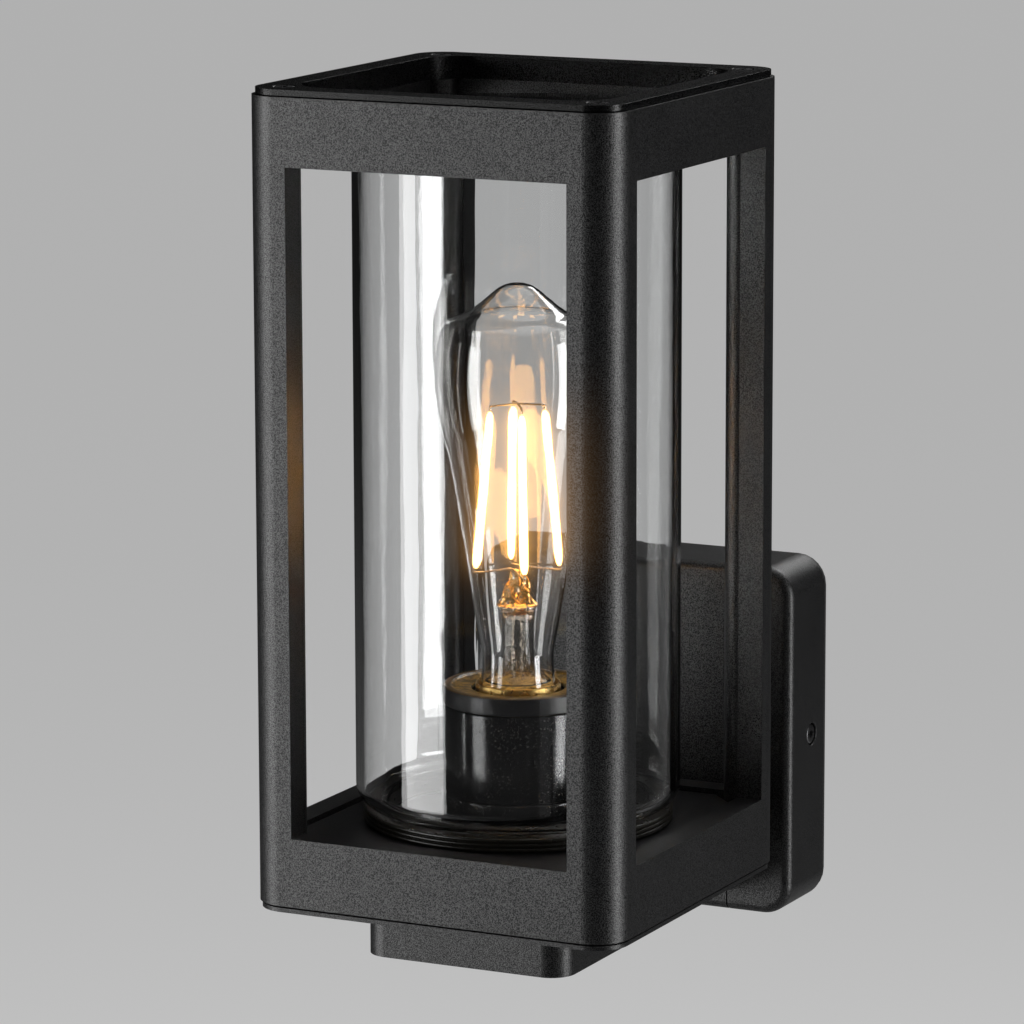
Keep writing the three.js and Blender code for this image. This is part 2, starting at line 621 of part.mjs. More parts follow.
// A hollow arm under the head. Its root fills the notch in the wall box and spreads into a
// flange behind the box's front wall.
function supportArmGeometry() {
  const { half, wall, roofFrom, boss } = ARM;
  const body = prism(armOutline(), ARM_LOW, ARM_TOP);
  const inside = half - wall;
  const front = ARM_FRONT + wall;
  const floor = ARM_LOW + wall;
  const channel = slab(-inside, inside, front, BOX.front - 4, floor, ARM_TOP - wall);
  const openTop = slab(-inside, inside, front, roofFrom, floor, ARM_TOP + 1);
  const root = common(
    boxOutside(),
    slab(-half, half, BOX.front - 1, BOX_FLOOR - GAP, -BOX.half - 1, ARM_TOP),
  );
  const boxBottom = -BOX_INNER + GAP;
  const bridge = slab(-half, half, BOX_FLOOR - 1, BOX_FLOOR + GAP + 1, boxBottom, ARM_TOP);
  const flange = slab(
    -FLANGE.half, FLANGE.half, BOX_FLOOR + GAP, BOX_FLOOR + GAP + FLANGE.thick, boxBottom, FLANGE.top,
  );
  const duct = slab(-DUCT.half, DUCT.half, BOX.front - 5, -20, DUCT.low, DUCT.high);
  const bosses = PLATE_SCREW_Y.map((y) =>
    bar([0, y - AXIS_OUT, ARM_LOW + 1], [0, y - AXIS_OUT, ARM_TOP], boss));
  const pilots = PLATE_SCREW_Y.map((y) =>
    bar([0, y - AXIS_OUT, ARM_TOP - SCREW_LENGTH.plate], [0, y - AXIS_OUT, ARM_TOP + 1], PILOT));
  const flangeHoles = [-1, 1].map((side) =>
    bar([side * FLANGE.screwX, -30, FLANGE.screwZ], [side * FLANGE.screwX, -20, FLANGE.screwZ], FLANGE.hole));
  const hollowed = cut(body, channel, openTop);
  return cut(join(hollowed, root, bridge, flange, ...bosses), duct, ...pilots, ...flangeHoles);
}

function slotCutter(x) {
  const reach = (SLOT.length - SLOT.width) / 2;
  const radius = SLOT.width / 2;
  return join(
    slab(x - reach, x + reach, -5, 5, -radius, radius),
    bar([x - reach, -5, 0], [x - reach, 5, 0], radius),
    bar([x + reach, -5, 0], [x + reach, 5, 0], radius),
  );
}

function bracketGeometry() {
  const { half, rise, thick, earRise, earOut, tabHalf, tabTop } = BRACKET;
  const plate = slab(-half, half, -thick, 0, -rise, rise);
  const ears = [-1, 1].map((side) => {
    const edges = [side * half, side * (half - thick)].sort((a, b) => a - b);
    return slab(...edges, -earOut, 0, -earRise, earRise);
  });
  const tab = slab(-tabHalf, tabHalf, -thick, 0, rise - 1, tabTop);
  const lug = slab(LUG.x - LUG.half, LUG.x + LUG.half, -LUG.out, 0, LUG.top - LUG.thick, LUG.top);
  const holes = [
    bar([-half - 1, SIDE_SCREW.y, 0], [half + 1, SIDE_SCREW.y, 0], PAN_SCREW.shank + GAP),
    bar([CABLE_HOLE.x, -5, 0], [CABLE_HOLE.x, 5, 0], CABLE_HOLE.radius, 24),
    bar([BLOCK.fixingX, -5, BLOCK_MIDDLE], [BLOCK.fixingX, 5, BLOCK_MIDDLE], PILOT),
    bar([LUG.x, LUG.y, LUG.top - 5], [LUG.x, LUG.y, LUG.top + 5], PAN_SCREW.shank + GAP),
    slotCutter(-SLOT.x),
    slotCutter(SLOT.x),
  ];
  return cut(join(plate, ...ears, tab, lug), ...holes);
}

function grommetGeometry() {
  const { bore, rim, rimTop, high } = GROMMET;
  const plateFront = BRACKET.thick + GAP;
  const neck = CABLE_HOLE.radius - GAP;
  const top = plateFront + high;
  const profile = closed([
    [bore, GAP], [neck, GAP], [neck, plateFront], [rim, plateFront], [rimTop, top], [bore, top],
  ]);
  return towardsFront(turned(profile, 24)).translate(CABLE_HOLE.x, 0, 0);
}

function terminalBlockGeometry() {
  const { half, low, high, poles, well, entry, fixingX, fixingSeat, fixingDepth } = BLOCK;
  const back = -BRACKET.thick - GAP;
  const middleY = (BLOCK_FRONT + back) / 2;
  const body = slab(-half, half, BLOCK_FRONT, back, low, high);
  const inwards = (x, depthY, radius) =>
    bar([x, BLOCK_FRONT - 1, BLOCK_MIDDLE], [x, depthY, BLOCK_MIDDLE], radius);
  const wells = poles.map((x) => inwards(x, middleY, well));
  const entries = poles.map((x) => bar([x, middleY, low - 1], [x, middleY, high + 1], entry));
  const fixing = inwards(fixingX, 0, PILOT);
  const seat = inwards(fixingX, BLOCK_FRONT + fixingDepth, fixingSeat);
  return cut(body, ...wells, ...entries, fixing, seat);
}

function addWallBox() {
  place(lantern, "mounting_bracket", bracketGeometry(), FINISH.zincSteel);
  place(lantern, "cable_grommet", grommetGeometry(), FINISH.rubber);
  const sealHole = roundedSquare(SEAL.inner, SEAL.innerCorner);
  const seal = alongY(roundedSquare(SEAL.half, SEAL.corner), -SEAL.thick, 0, sealHole);
  place(lantern, "wall_gasket", seal, FINISH.rubber);
  place(lantern, "wall_box", wallBoxGeometry(), FINISH.powderCoat);
  place(lantern, "support_arm", supportArmGeometry(), FINISH.powderCoat);
  place(lantern, "terminal_block", terminalBlockGeometry(), FINISH.whitePlastic);
  const sideHeadX = SIDE_SCREW.seat + GAP + PAN_SCREW.headHeight;
  const flangeHeadY = BOX_FLOOR + 2 * GAP + FLANGE.thick + PAN_SCREW.headHeight;
  [["left", -1], ["right", 1]].forEach(([side, sign]) => {
    placeScrew(lantern, `box_screw_${side}`, {
      size: PAN_SCREW, length: SCREW_LENGTH.box,
      position: [sign * sideHeadX, SIDE_SCREW.y, 0],
      direction: [-sign, 0, 0], finish: FINISH.blackScrew,
    });
    placeScrew(lantern, `arm_screw_${side}`, {
      size: { ...PAN_SCREW, shank: SMALL_SCREW.shank }, length: SCREW_LENGTH.arm,
      position: [sign * FLANGE.screwX, flangeHeadY, FLANGE.screwZ],
      direction: [0, -1, 0], finish: FINISH.zincSteel,
    });
  });
  ["earth", "neutral", "live"].forEach((pole, i) => {
    placeScrew(lantern, `terminal_screw_${pole}`, {
      size: TERMINAL_SCREW, length: SCREW_LENGTH.terminal,
      position: [BLOCK.poles[i], BLOCK_FRONT + 0.8, BLOCK_MIDDLE], direction: [0, 1, 0],
      finish: FINISH.zincSteel,
    });
  });
  placeScrew(lantern, "block_screw", {
    size: { ...SMALL_SCREW, head: 2.7 }, length: SCREW_LENGTH.block,
    position: [BLOCK.fixingX, BLOCK_FRONT + BLOCK.fixingDepth - GAP - SMALL_SCREW.headHeight, BLOCK_MIDDLE],
    direction: [0, 1, 0], finish: FINISH.zincSteel,
  });
  placeScrew(lantern, "earth_screw", {
    size: PAN_SCREW, length: SCREW_LENGTH.earth,
    position: [LUG.x, LUG.y, LUG.top + GAP + EARTH_RING.thick + GAP + PAN_SCREW.headHeight],
    direction: [0, 0, -1], finish: FINISH.brass,
  });
}

// ---- leads --------------------------------------------------------------------------------

// From the terminal block down the wall box, through the arm and up to the lampholder.
function supplyLead(poleX, side) {
  const run = side * LEAD_APART;
  const channelZ = -44;
  const axisY = -AXIS_OUT + 0.5;
  return lead([
    [poleX, -8.8, BLOCK.low + 2], [poleX, -10, 14], [(poleX + run) / 2, -14, -4], [run, -17, -20],
    [run, -19, -32], [run, -24.4, -41], [run, -34, channelZ], [run, -62, channelZ], [run, -92, channelZ],
    [run, -106, -40.5], [run, axisY, -30], [run, axisY, -15], [run, axisY, -HEAD_DROP + 30.3],
  ], 26);
}

// From the terminal block to a ring terminal under the earth screw.
function earthLead() {
  const ringLow = LUG.top + GAP;
  const ringTop = ringLow + EARTH_RING.thick;
  const tongueEnd = LUG.y - EARTH_RING.reach;
  const wire = lead([
    [BLOCK.poles[0], -8.8, BLOCK.low + 2], [BLOCK.poles[0], -10, 14], [-17, -14, 3],
    [-23, -16, -6], [LUG.x, -15.4, -10.8], [LUG.x, tongueEnd + 0.6, ringLow + 1.15],
  ], 14);
  const ring = bar([LUG.x, LUG.y, ringLow], [LUG.x, LUG.y, ringTop], EARTH_RING.outer);
  const tongue = slab(
    LUG.x - EARTH_RING.tongue, LUG.x + EARTH_RING.tongue, tongueEnd, LUG.y - 3, ringLow, ringTop,
  );
  const hole = bar([LUG.x, LUG.y, ringLow - 1], [LUG.x, LUG.y, ringTop + 1], EARTH_RING.inner);
  return cut(join(wire, ring, tongue), hole);
}

function addLeads() {
  place(lantern, "earth_lead", earthLead(), FINISH.greenLead);
  place(lantern, "neutral_lead", supplyLead(BLOCK.poles[1], -1), FINISH.blueLead);
  place(lantern, "live_lead", supplyLead(BLOCK.poles[2], 1), FINISH.brownLead);
}

// ---- the whole lantern --------------------------------------------------------------------

addCage();
place(head, "glass_jar", jarGeometry(), FINISH.glass);
place(head, "jar_gasket", gasketGeometry(), FINISH.silicone);
addHolder();
addBulb();
addWallBox();
addLeads();

export default lantern;
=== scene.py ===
import json
import math
import random

import bmesh
import bpy
from mathutils import Matrix, Vector


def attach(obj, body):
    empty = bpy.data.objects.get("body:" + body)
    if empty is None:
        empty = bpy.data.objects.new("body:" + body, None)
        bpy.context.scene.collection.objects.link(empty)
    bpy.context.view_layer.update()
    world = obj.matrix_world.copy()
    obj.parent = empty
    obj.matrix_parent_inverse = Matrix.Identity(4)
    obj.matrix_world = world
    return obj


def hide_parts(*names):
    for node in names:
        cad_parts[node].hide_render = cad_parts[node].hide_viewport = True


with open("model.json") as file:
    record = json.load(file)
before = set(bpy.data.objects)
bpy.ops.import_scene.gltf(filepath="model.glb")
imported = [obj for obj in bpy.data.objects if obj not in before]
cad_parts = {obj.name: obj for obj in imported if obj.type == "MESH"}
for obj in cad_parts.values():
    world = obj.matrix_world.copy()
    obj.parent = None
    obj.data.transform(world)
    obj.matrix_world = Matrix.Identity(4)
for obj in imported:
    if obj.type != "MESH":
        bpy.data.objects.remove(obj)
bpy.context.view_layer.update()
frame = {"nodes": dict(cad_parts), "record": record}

# Shapes are in millimetres. The wall box and the arm are drawn in the frame's axes. The cage and
# what it holds are drawn about the bulb's axis, with z = 0 at the cage's underside, and move to HEAD.
MM = 0.001
ORIGIN = Vector((0, 0, 0))
HEAD = Vector((0, -111, -31.7))
SIDES = (("left", -1), ("right", 1))
GAP = 0.3

# ---- node materials -------------------------------------------------------------------------


class Nodes:
    """A material with one Principled shader, and short calls for the nodes before it."""

    def __init__(self, name, **inputs):
        self.material = bpy.data.materials.new(name)
        self.material.use_nodes = True
        self.tree = self.material.node_tree
        self.shader = self.tree.nodes["Principled BSDF"]
        self.output = self.tree.nodes["Material Output"]
        for socket, value in inputs.items():
            self.shader.inputs[socket.replace("_", " ")].default_value = value
        self.place = self.add("ShaderNodeTexCoord").outputs["Object"]

    def add(self, kind, **settings):
        node = self.tree.nodes.new(kind)
        for key, value in settings.items():
            setattr(node, key, value)
        return node

    def link(self, source, target):
        self.tree.links.new(source, target)

    def stretched(self, scale):
        mapping = self.add("ShaderNodeMapping")
        mapping.inputs["Scale"].default_value = scale
        self.link(self.place, mapping.inputs["Vector"])
        return mapping.outputs[0]

    def noise(self, scale, detail=2.0, rough=0.5, vector=None, seed=0.0):
        node = self.add("ShaderNodeTexNoise", noise_dimensions="4D")
        node.inputs["Scale"].default_value = scale
        node.inputs["Detail"].default_value = detail
        node.inputs["Roughness"].default_value = rough
        node.inputs["W"].default_value = seed
        self.link(vector or self.place, node.inputs["Vector"])
        return node.outputs["Fac"]

    def ramp(self, value, low, high, to_low=0.0, to_high=1.0):
        """A straight, clamped ramp: to_low up to low, and to_high from high."""
        node = self.add("ShaderNodeMapRange")
        sockets = ("From Min", "From Max", "To Min", "To Max")
        for socket, number in zip(sockets, (low, high, to_low, to_high)):
            node.inputs[socket].default_value = number
        self.link(value, node.inputs["Value"])
        return node.outputs["Result"]

    def mixed(self, amount, first, second):
        node = self.add("ShaderNodeMix", data_type="RGBA")
        self.link(amount, node.inputs["Factor"])
        for socket, value in ((node.inputs[6], first), (node.inputs[7], second)):
            if isinstance(value, tuple):
                socket.default_value = (*value, 1.0)
            else:
                self.link(value, socket)
        return node.outputs[2]

    def combined(self, operation, first, second):
        node = self.add("ShaderNodeMath", operation=operation)
        for socket, value in zip(node.inputs, (first, second)):
            if isinstance(value, (int, float)):
                socket.default_value = value
            else:
                self.link(value, socket)
        return node.outputs[0]

    def colour(self, source):
        self.link(source, self.shader.inputs["Base Color"])

    def roughness(self, source):
        self.link(source, self.shader.inputs["Roughness"])

    def glow(self, colour, strength):
        self.link(colour, self.shader.inputs["Emission Color"])
        if isinstance(strength, float):
            self.shader.inputs["Emission Strength"].default_value = strength
        else:
            self.link(strength, self.shader.inputs["Emission Strength"])

    def bump(self, height, strength, distance):
        node = self.add("ShaderNodeBump")
        node.inputs["Strength"].default_value = strength
        node.inputs["Distance"].default_value = distance
        self.link(height, node.inputs["Height"])
        self.link(node.outputs[0], self.shader.inputs["Normal"])

    def above(self, z, fade):
        """0 below a height in the cage's millimetres, 1 from a fade's length above it."""
        height = self.add("ShaderNodeSeparateXYZ")
        self.link(self.place, height.inputs[0])
        start = (HEAD.z + z) * MM
        return self.ramp(height.outputs[2], start, start + fade * MM)

    def within(self, radius, fade=0.1):
        """1 within a radius of the bulb's axis, in millimetres, and 0 from a fade's length past it."""
        from_axis = self.add("ShaderNodeVectorMath", operation="MULTIPLY_ADD")
        self.link(self.place, from_axis.inputs[0])
        from_axis.inputs[1].default_value = (1, 1, 0)
        from_axis.inputs[2].default_value = (0, -HEAD.y * MM, 0)
        length = self.add("ShaderNodeVectorMath", operation="LENGTH")
        self.link(from_axis.outputs[0], length.inputs[0])
        return self.ramp(length.outputs["Value"], radius * MM, (radius + fade) * MM, 1.0, 0.0)

    def lets_lamps_through(self, tint):
        """Rays to lamps pass this glass, so that what it holds is lit."""
        path = self.add("ShaderNodeLightPath")
        clear = self.add("ShaderNodeBsdfTransparent")
        clear.inputs["Color"].default_value = (*tint, 1.0)
        both = self.add("ShaderNodeMixShader")
        self.link(path.outputs["Is Shadow Ray"], both.inputs[0])
        self.link(self.shader.outputs[0], both.inputs[1])
        self.link(clear.outputs[0], both.inputs[2])
        self.link(both.outputs[0], self.output.inputs["Surface"])


def scaled(colour, factor):
    return tuple(c * factor for c in colour)


def powder_coat(name, dark, pale, rough, gloss, texture):
    """Fine-textured coat; dark and pale are the colours of its hollows and of its grains."""
    m = Nodes(name)
    grain = m.noise(3300, detail=1)
    cloud = m.noise(35, detail=3, rough=0.55, seed=7)
    middle = tuple((a + b) / 2 for a, b in zip(dark, pale))
    coat = m.mixed(m.ramp(grain, 0.42, 0.62), dark, pale)
    m.colour(m.mixed(m.ramp(cloud, 0.3, 0.75, 0.0, 0.2), coat, middle))
    shine = m.ramp(grain, 0.4, 0.6, gloss * 0.4, gloss * 1.6)
    m.link(shine, m.shader.inputs["Specular IOR Level"])
    grainy = m.ramp(grain, 0.35, 0.65, rough - 0.08, rough + 0.08)
    m.roughness(m.combined("ADD", grainy, m.ramp(cloud, 0.3, 0.7, -0.03, 0.03)))
    m.bump(grain, 1.0, texture)
    return m.material


def clear_glass(name, waviness, tint, lamp_tint):
    m = Nodes(name, Transmission_Weight=1.0, IOR=1.5, Roughness=0.0)
    m.shader.inputs["Base Color"].default_value = (*tint, 1.0)
    slow = m.noise(1, detail=1, rough=0.4, vector=m.stretched((55, 55, 5)))
    ripple = m.noise(1, vector=m.stretched((240, 240, 30)), seed=4)
    smear = m.noise(40, detail=3, rough=0.6, seed=9)
    m.roughness(m.ramp(smear, 0.5, 0.85, 0.0, 0.035))
    m.bump(m.combined("ADD", slow, m.combined("MULTIPLY", ripple, 0.05)), 1.0, waviness)
    m.lets_lamps_through(lamp_tint)
    return m.material


def plated_metal(name, colour, rough, brush=(400, 400, 4000)):
    m = Nodes(name, Metallic=1.0)
    streak = m.noise(1, detail=3, rough=0.6, vector=m.stretched(brush))
    stain = m.noise(160, detail=4, rough=0.6, seed=5)
    m.colour(m.mixed(m.ramp(stain, 0.35, 0.75), colour, scaled(colour, 0.62)))
    brushed = m.ramp(streak, 0.3, 0.7, rough - 0.06, rough + 0.08)
    m.roughness(m.combined("ADD", brushed, m.ramp(stain, 0.4, 0.8, 0.0, 0.1)))
    m.bump(streak, 0.18, 0.00004)
    return m.material


def moulded(name, colour, rough, speck=0.0, grain=900):
    """Plastic or rubber; speck is how strongly dust shows on it."""
    m = Nodes(name)
    skin = m.noise(grain, detail=3, rough=0.55)
    tone = m.noise(60, seed=2)
    paler = tuple(min(c * 1.25 + 0.002, 1.0) for c in colour)
    base = m.mixed(m.ramp(tone, 0.3, 0.7), colour, paler)
    if speck:
        dust = m.ramp(m.noise(1900, detail=1, rough=0.4, seed=11), 0.64, 0.7)
        patches = m.ramp(m.noise(120, seed=12), 0.38, 0.6, 0.1 * speck, speck)
        base = m.mixed(m.combined("MULTIPLY", dust, patches), base, (0.55, 0.52, 0.47))
    m.colour(base)
    m.roughness(m.ramp(skin, 0.3, 0.7, rough - 0.05, rough + 0.07))
    m.bump(skin, 0.2, 0.00005)
    return m.material


def glowing(name, light, strength, coat):
    m = Nodes(name, Roughness=0.45)
    run = m.noise(700)
    m.colour(m.mixed(m.ramp(run, 0.35, 0.7), coat, scaled(coat, 0.8)))
    m.glow(m.mixed(m.ramp(run, 0.3, 0.7), light, scaled(light, 0.92)), strength)
    m.bump(run, 0.3, 0.00008)
    return m.material


# Colour of the painted glow on the collar's dish and the cap's cement, which stands in for the
# filaments' light.
AMBER_LIGHT = (1.0, 0.58, 0.1)
DARK = (0.0, 0.0, 0.0)


def collar_plastic(name):
    """Black plastic whose top is painted with the filaments' light: a bronze-coloured rim, and an
    amber dish with bright glints that glows though it is no lamp.
    """
    m = Nodes(name, Specular_IOR_Level=0.4)
    skin = m.noise(900, detail=3, rough=0.55)
    tone = m.noise(260, detail=3, rough=0.6, seed=2)
    # Painted light: the rim's bronze colour, from z = 62.6 up, stands in for the filaments' light
    # falling on the top of the black collar.
    painted_rim_light = m.mixed(m.ramp(tone, 0.35, 0.7), (0.13, 0.085, 0.038), (0.06, 0.04, 0.017))
    # The dish is painted with the filaments' light: amber colour, bright painted glints, and a glow.
    dish = m.combined("MULTIPLY", m.above(61.5, 0.1), m.within(20.9))
    painted_glints = m.noise(640, detail=3, rough=0.65, seed=6)
    amber = m.mixed(m.ramp(painted_glints, 0.42, 0.64), (0.045, 0.026, 0.004), (0.3, 0.18, 0.03))
    m.colour(m.mixed(dish, m.mixed(m.above(62.6, 0.15), (0.005, 0.005, 0.0055), painted_rim_light), amber))
    # Painted glow: the dish glows amber, strongest at the glints, although it is no lamp.
    lit = m.combined("MULTIPLY", dish, m.ramp(painted_glints, 0.42, 0.66, 0.008, 0.08))
    m.glow(m.mixed(dish, DARK, AMBER_LIGHT), lit)
    m.roughness(m.ramp(skin, 0.3, 0.7, 0.28, 0.4))
    m.bump(skin, 0.2, 0.00005)
    return m.material


def cap_brass(name):
    """Brass, with the amber cement that shows inside its rim; the cement is brightened and glows
    faintly, as painted light from the filaments.
    """
    m = Nodes(name)
    stain = m.noise(420, detail=4, rough=0.65, seed=5)
    inside = m.combined("MULTIPLY", m.above(57.3, 0.2), m.within(11.6))
    brass = m.mixed(m.ramp(stain, 0.35, 0.75), (0.8, 0.55, 0.2), (0.5, 0.33, 0.1))
    # The cement's amber is partly its own colour and partly painted light from the filaments; the
    # stain noise puts bright painted glints in it.
    cement = m.mixed(m.ramp(stain, 0.4, 0.62), (0.3, 0.17, 0.02), (0.85, 0.56, 0.1))
    m.colour(m.mixed(inside, brass, cement))
    # Painted glow: the cement glows faintly amber although it is no lamp.
    lit = m.combined("MULTIPLY", inside, m.ramp(stain, 0.4, 0.66, 0.02, 0.26))
    m.glow(m.mixed(inside, DARK, AMBER_LIGHT), lit)
    m.link(m.ramp(inside, 0, 1, 1.0, 0.25), m.shader.inputs["Metallic"])
    m.roughness(m.ramp(stain, 0.3, 0.7, 0.2, 0.4))
    m.bump(stain, 0.5, 0.0004)
    return m.material


def stem_glass(name):
    """Clear glass below, and above it the crumpled pinch, gold from the wires inside."""
    m = Nodes(name, IOR=1.5)
    crumple = m.noise(520, rough=0.6)
    folds = m.ramp(crumple, 0.36, 0.5, 0.35, 1.0)
    folded = m.combined("MULTIPLY", m.above(87.4, 0.6), folds)
    m.colour(m.mixed(folded, (0.99, 0.96, 0.92), (1.0, 0.62, 0.2)))
    m.roughness(m.ramp(folded, 0, 1, 0.0, 0.16))
    m.link(m.ramp(folded, 0, 1, 1.0, 0.1), m.shader.inputs["Transmission Weight"])
    m.link(m.ramp(folded, 0, 1, 0.0, 0.9), m.shader.inputs["Metallic"])
    m.bump(crumple, 0.6, 0.0007)
    m.lets_lamps_through((0.98, 0.97, 0.95))
    return m.material


# Each finish: the function that makes its material, and the settings for it.
MAKERS = {
    "powder_coat": (powder_coat, {
        "dark": (0.001, 0.001, 0.0012), "pale": (0.015, 0.0152, 0.0157),
        "rough": 0.38, "gloss": 0.5, "texture": 0.00007}),
    "ring_coat": (powder_coat, {
        "dark": (0.001, 0.001, 0.0011), "pale": (0.004, 0.0041, 0.0044),
        "rough": 0.28, "gloss": 0.2, "texture": 0.000012}),
    "zinc_steel": (plated_metal, {"colour": (0.58, 0.59, 0.6), "rough": 0.32}),
    "black_screw": (plated_metal, {
        "colour": (0.2, 0.2, 0.205), "rough": 0.26, "brush": (2500, 2500, 2500)}),
    "brass": (plated_metal, {"colour": (0.74, 0.52, 0.22), "rough": 0.26}),
    "nickel": (plated_metal, {"colour": (0.66, 0.62, 0.56), "rough": 0.2}),
    "rubber": (moulded, {"colour": (0.012, 0.012, 0.012), "rough": 0.7}),
    "silicone": (moulded, {"colour": (0.007, 0.0062, 0.0042), "rough": 0.3, "grain": 500}),
    "white_plastic": (moulded, {"colour": (0.74, 0.73, 0.69), "rough": 0.42}),
    "black_plastic": (moulded, {"colour": (0.003, 0.003, 0.0034), "rough": 0.14, "speck": 0.22}),
    "jar_glass": (clear_glass, {
        "waviness": 0.0005, "tint": (0.985, 0.99, 0.99), "lamp_tint": (0.62, 0.62, 0.62)}),
    "bulb_glass": (clear_glass, {
        "waviness": 0.00006, "tint": (0.98, 0.975, 0.965), "lamp_tint": (0.7, 0.7, 0.7)}),
    "phosphor": (glowing, {"light": (1.0, 0.5, 0.14), "strength": 9.0, "coat": (0.9, 0.6, 0.1)}),
    "live_insulation": (moulded, {"colour": (0.12, 0.04, 0.016), "rough": 0.4}),
    "neutral_insulation": (moulded, {"colour": (0.016, 0.09, 0.34), "rough": 0.4}),
    "earth_insulation": (moulded, {"colour": (0.17, 0.34, 0.03), "rough": 0.4}),
    "stem_glass": (stem_glass, {}),
    "collar_plastic": (collar_plastic, {}),
    "cap_brass": (cap_brass, {}),
}
MATERIALS = {name: make(name, **settings) for name, (make, settings) in MAKERS.items()}

# ---- meshes ---------------------------------------------------------------------------------


def circle(count):
    return [2 * math.pi * i / count for i in range(count)]


def arc(x, y, radius, start, end, steps=10):
    angles = [math.radians(start + (end - start) * i / steps) for i in range(steps + 1)]
    return [(x + radius * math.cos(a), y + radius * math.sin(a)) for a in angles]


def rounded_square(half, radius, steps=12):
    inner = half - radius
    points = []
    for i, (sx, sy) in enumerate(((1, 1), (-1, 1), (-1, -1), (1, -1))):
        points += arc(sx * inner, sy * inner, radius, 90 * i, 90 * i + 90, steps)
    return points


def clipped_square(half, flat):
    """A square with its corners cut off; flat is half of what that leaves of each side."""
    return [(half, -flat), (half, flat), (flat, half), (-flat, half),
            (-half, flat), (-half, -flat), (-flat, -half), (flat, -half)]


def band(bm, a, b):
    """Faces between two rings that have as many vertices as each other."""
    for j in range(len(a)):
        k = (j + 1) % len(a)
        bm.faces.new((a[j], a[k], b[k], b[j]))


def stack(bm, rings):
    """Bands from each ring to the next, and a flat face on each end."""
    for a, b in zip(rings, rings[1:]):
        band(bm, a, b)
    bm.faces.new(rings[0][::-1])
    bm.faces.new(rings[-1])


def prism(outline, z0, z1):
    bm = bmesh.new()
    stack(bm, [[bm.verts.new((x, y, z)) for x, y in outline] for z in (z0, z1)])
    bmesh.ops.remove_doubles(bm, verts=bm.verts, dist=1e-5)
    return bm


def slab(x0, x1, y0, y1, z0, z1):
    return prism([(x0, y0), (x1, y0), (x1, y1), (x0, y1)], z0, z1)


def lathe(profile, sides=96, closed=False):
    """Turns (radius, height) points about Z. A point at radius 0 is a pole."""
    bm = bmesh.new()
    rings = []
    for r, z in profile:
        if r < 1e-6:
            rings.append([bm.verts.new((0, 0, z))])
        else:
            rings.append([bm.verts.new((r * math.cos(a), r * math.sin(a), z)) for a in circle(sides)])
    pairs = list(zip(rings, rings[1:]))
    if closed:
        pairs.append((rings[-1], rings[0]))
    for a, b in pairs:
        for j in range(sides):
            k = (j + 1) % sides
            corners = [a[j % len(a)], a[k % len(a)], b[k % len(b)], b[j % len(b)]]
            corners = [v for i, v in enumerate(corners) if v not in corners[:i]]
            if len(corners) > 2:
                bm.faces.new(corners)
    bmesh.ops.recalc_face_normals(bm, faces=bm.faces)
    return bm


def softened(profile, radius, steps=4, closed=False):
    """The same outline with its corners turned into short arcs."""
    count = len(profile)
    out = []
    for i, here in enumerate(profile):
        if not closed and i in (0, count - 1):
            out.append(here)
            continue
        p, a, b = Vector(here), Vector(profile[i - 1]), Vector(profile[(i + 1) % count])
        to_a, to_b = a - p, b - p
        cut = min(radius, 0.45 * to_a.length, 0.45 * to_b.length)
        start, end = p + to_a.normalized() * cut, p + to_b.normalized() * cut
        for k in range(steps + 1):
            t = k / steps
            out.append(tuple((1 - t) ** 2 * start + 2 * t * (1 - t) * p + t * t * end))
    return out


def softened_ring(profile, radius, sides=128):
    """A turned ring: a closed profile that never reaches the axis."""
    return lathe(softened(profile, radius, closed=True), sides, closed=True)


def spline(points, steps):
    """Catmull-Rom curve through the points, of any dimension."""
    ps = [Vector(p) for p in points]
    ps = [2 * ps[0] - ps[1], *ps, 2 * ps[-1] - ps[-2]]
    out = []
    for a, b, c, d in zip(ps, ps[1:], ps[2:], ps[3:]):
        for k in range(steps):
            t = k / steps
            square, cube = 2 * a - 5 * b + 4 * c - d, 3 * b - a - 3 * c + d
            out.append(0.5 * (2 * b + (c - a) * t + square * t * t + cube * t ** 3))
    return [*out, ps[-2]]


def tube(path, radii, sides=12):
    """A tube along path; radii is a number, or a list with one for each point."""
    path = [Vector(p) for p in path]
    if not isinstance(radii, list):
        radii = [radii] * len(path)
    bm = bmesh.new()
    normal = None
    rings = []
    for i, p in enumerate(path):
        way = (path[min(i + 1, len(path) - 1)] - path[max(i - 1, 0)]).normalized()
        if normal is None:
            normal = way.orthogonal().normalized()
        normal = (normal - way * normal.dot(way)).normalized()
        side = way.cross(normal)
        rings.append([bm.verts.new(p + radii[i] * (math.cos(a) * normal + math.sin(a) * side))
                      for a in circle(sides)])
    stack(bm, rings)
    bmesh.ops.recalc_face_normals(bm, faces=bm.faces)
    return bm


def bar(start, end, radius, sides=32):
    return tube([start, end], radius, sides)


def moved(bm, offset=ORIGIN, turn=None):
    if turn is not None:
        bmesh.ops.transform(bm, matrix=turn, verts=bm.verts)
    bmesh.ops.translate(bm, vec=Vector(offset), verts=bm.verts)
    return bm


def towards_front(bm):
    """An upright shape turned so that its height runs along -Y."""
    return moved(bm, turn=Matrix.Rotation(math.pi / 2, 4, "X"))


def as_object(bm, name):
    mesh = bpy.data.meshes.new(name)
    bm.to_mesh(mesh)
    bm.free()
    obj = bpy.data.objects.new(name, mesh)
    bpy.context.scene.collection.objects.link(obj)
    return obj


def settle(obj):
    """Applies obj's modifiers to its mesh."""
    bpy.context.view_layer.update()
    graph = bpy.context.evaluated_depsgraph_get()
    done = bpy.data.meshes.new_from_object(obj.evaluated_get(graph))
    old = obj.data
    obj.modifiers.clear()
    obj.data = done
    bpy.data.meshes.remove(old)


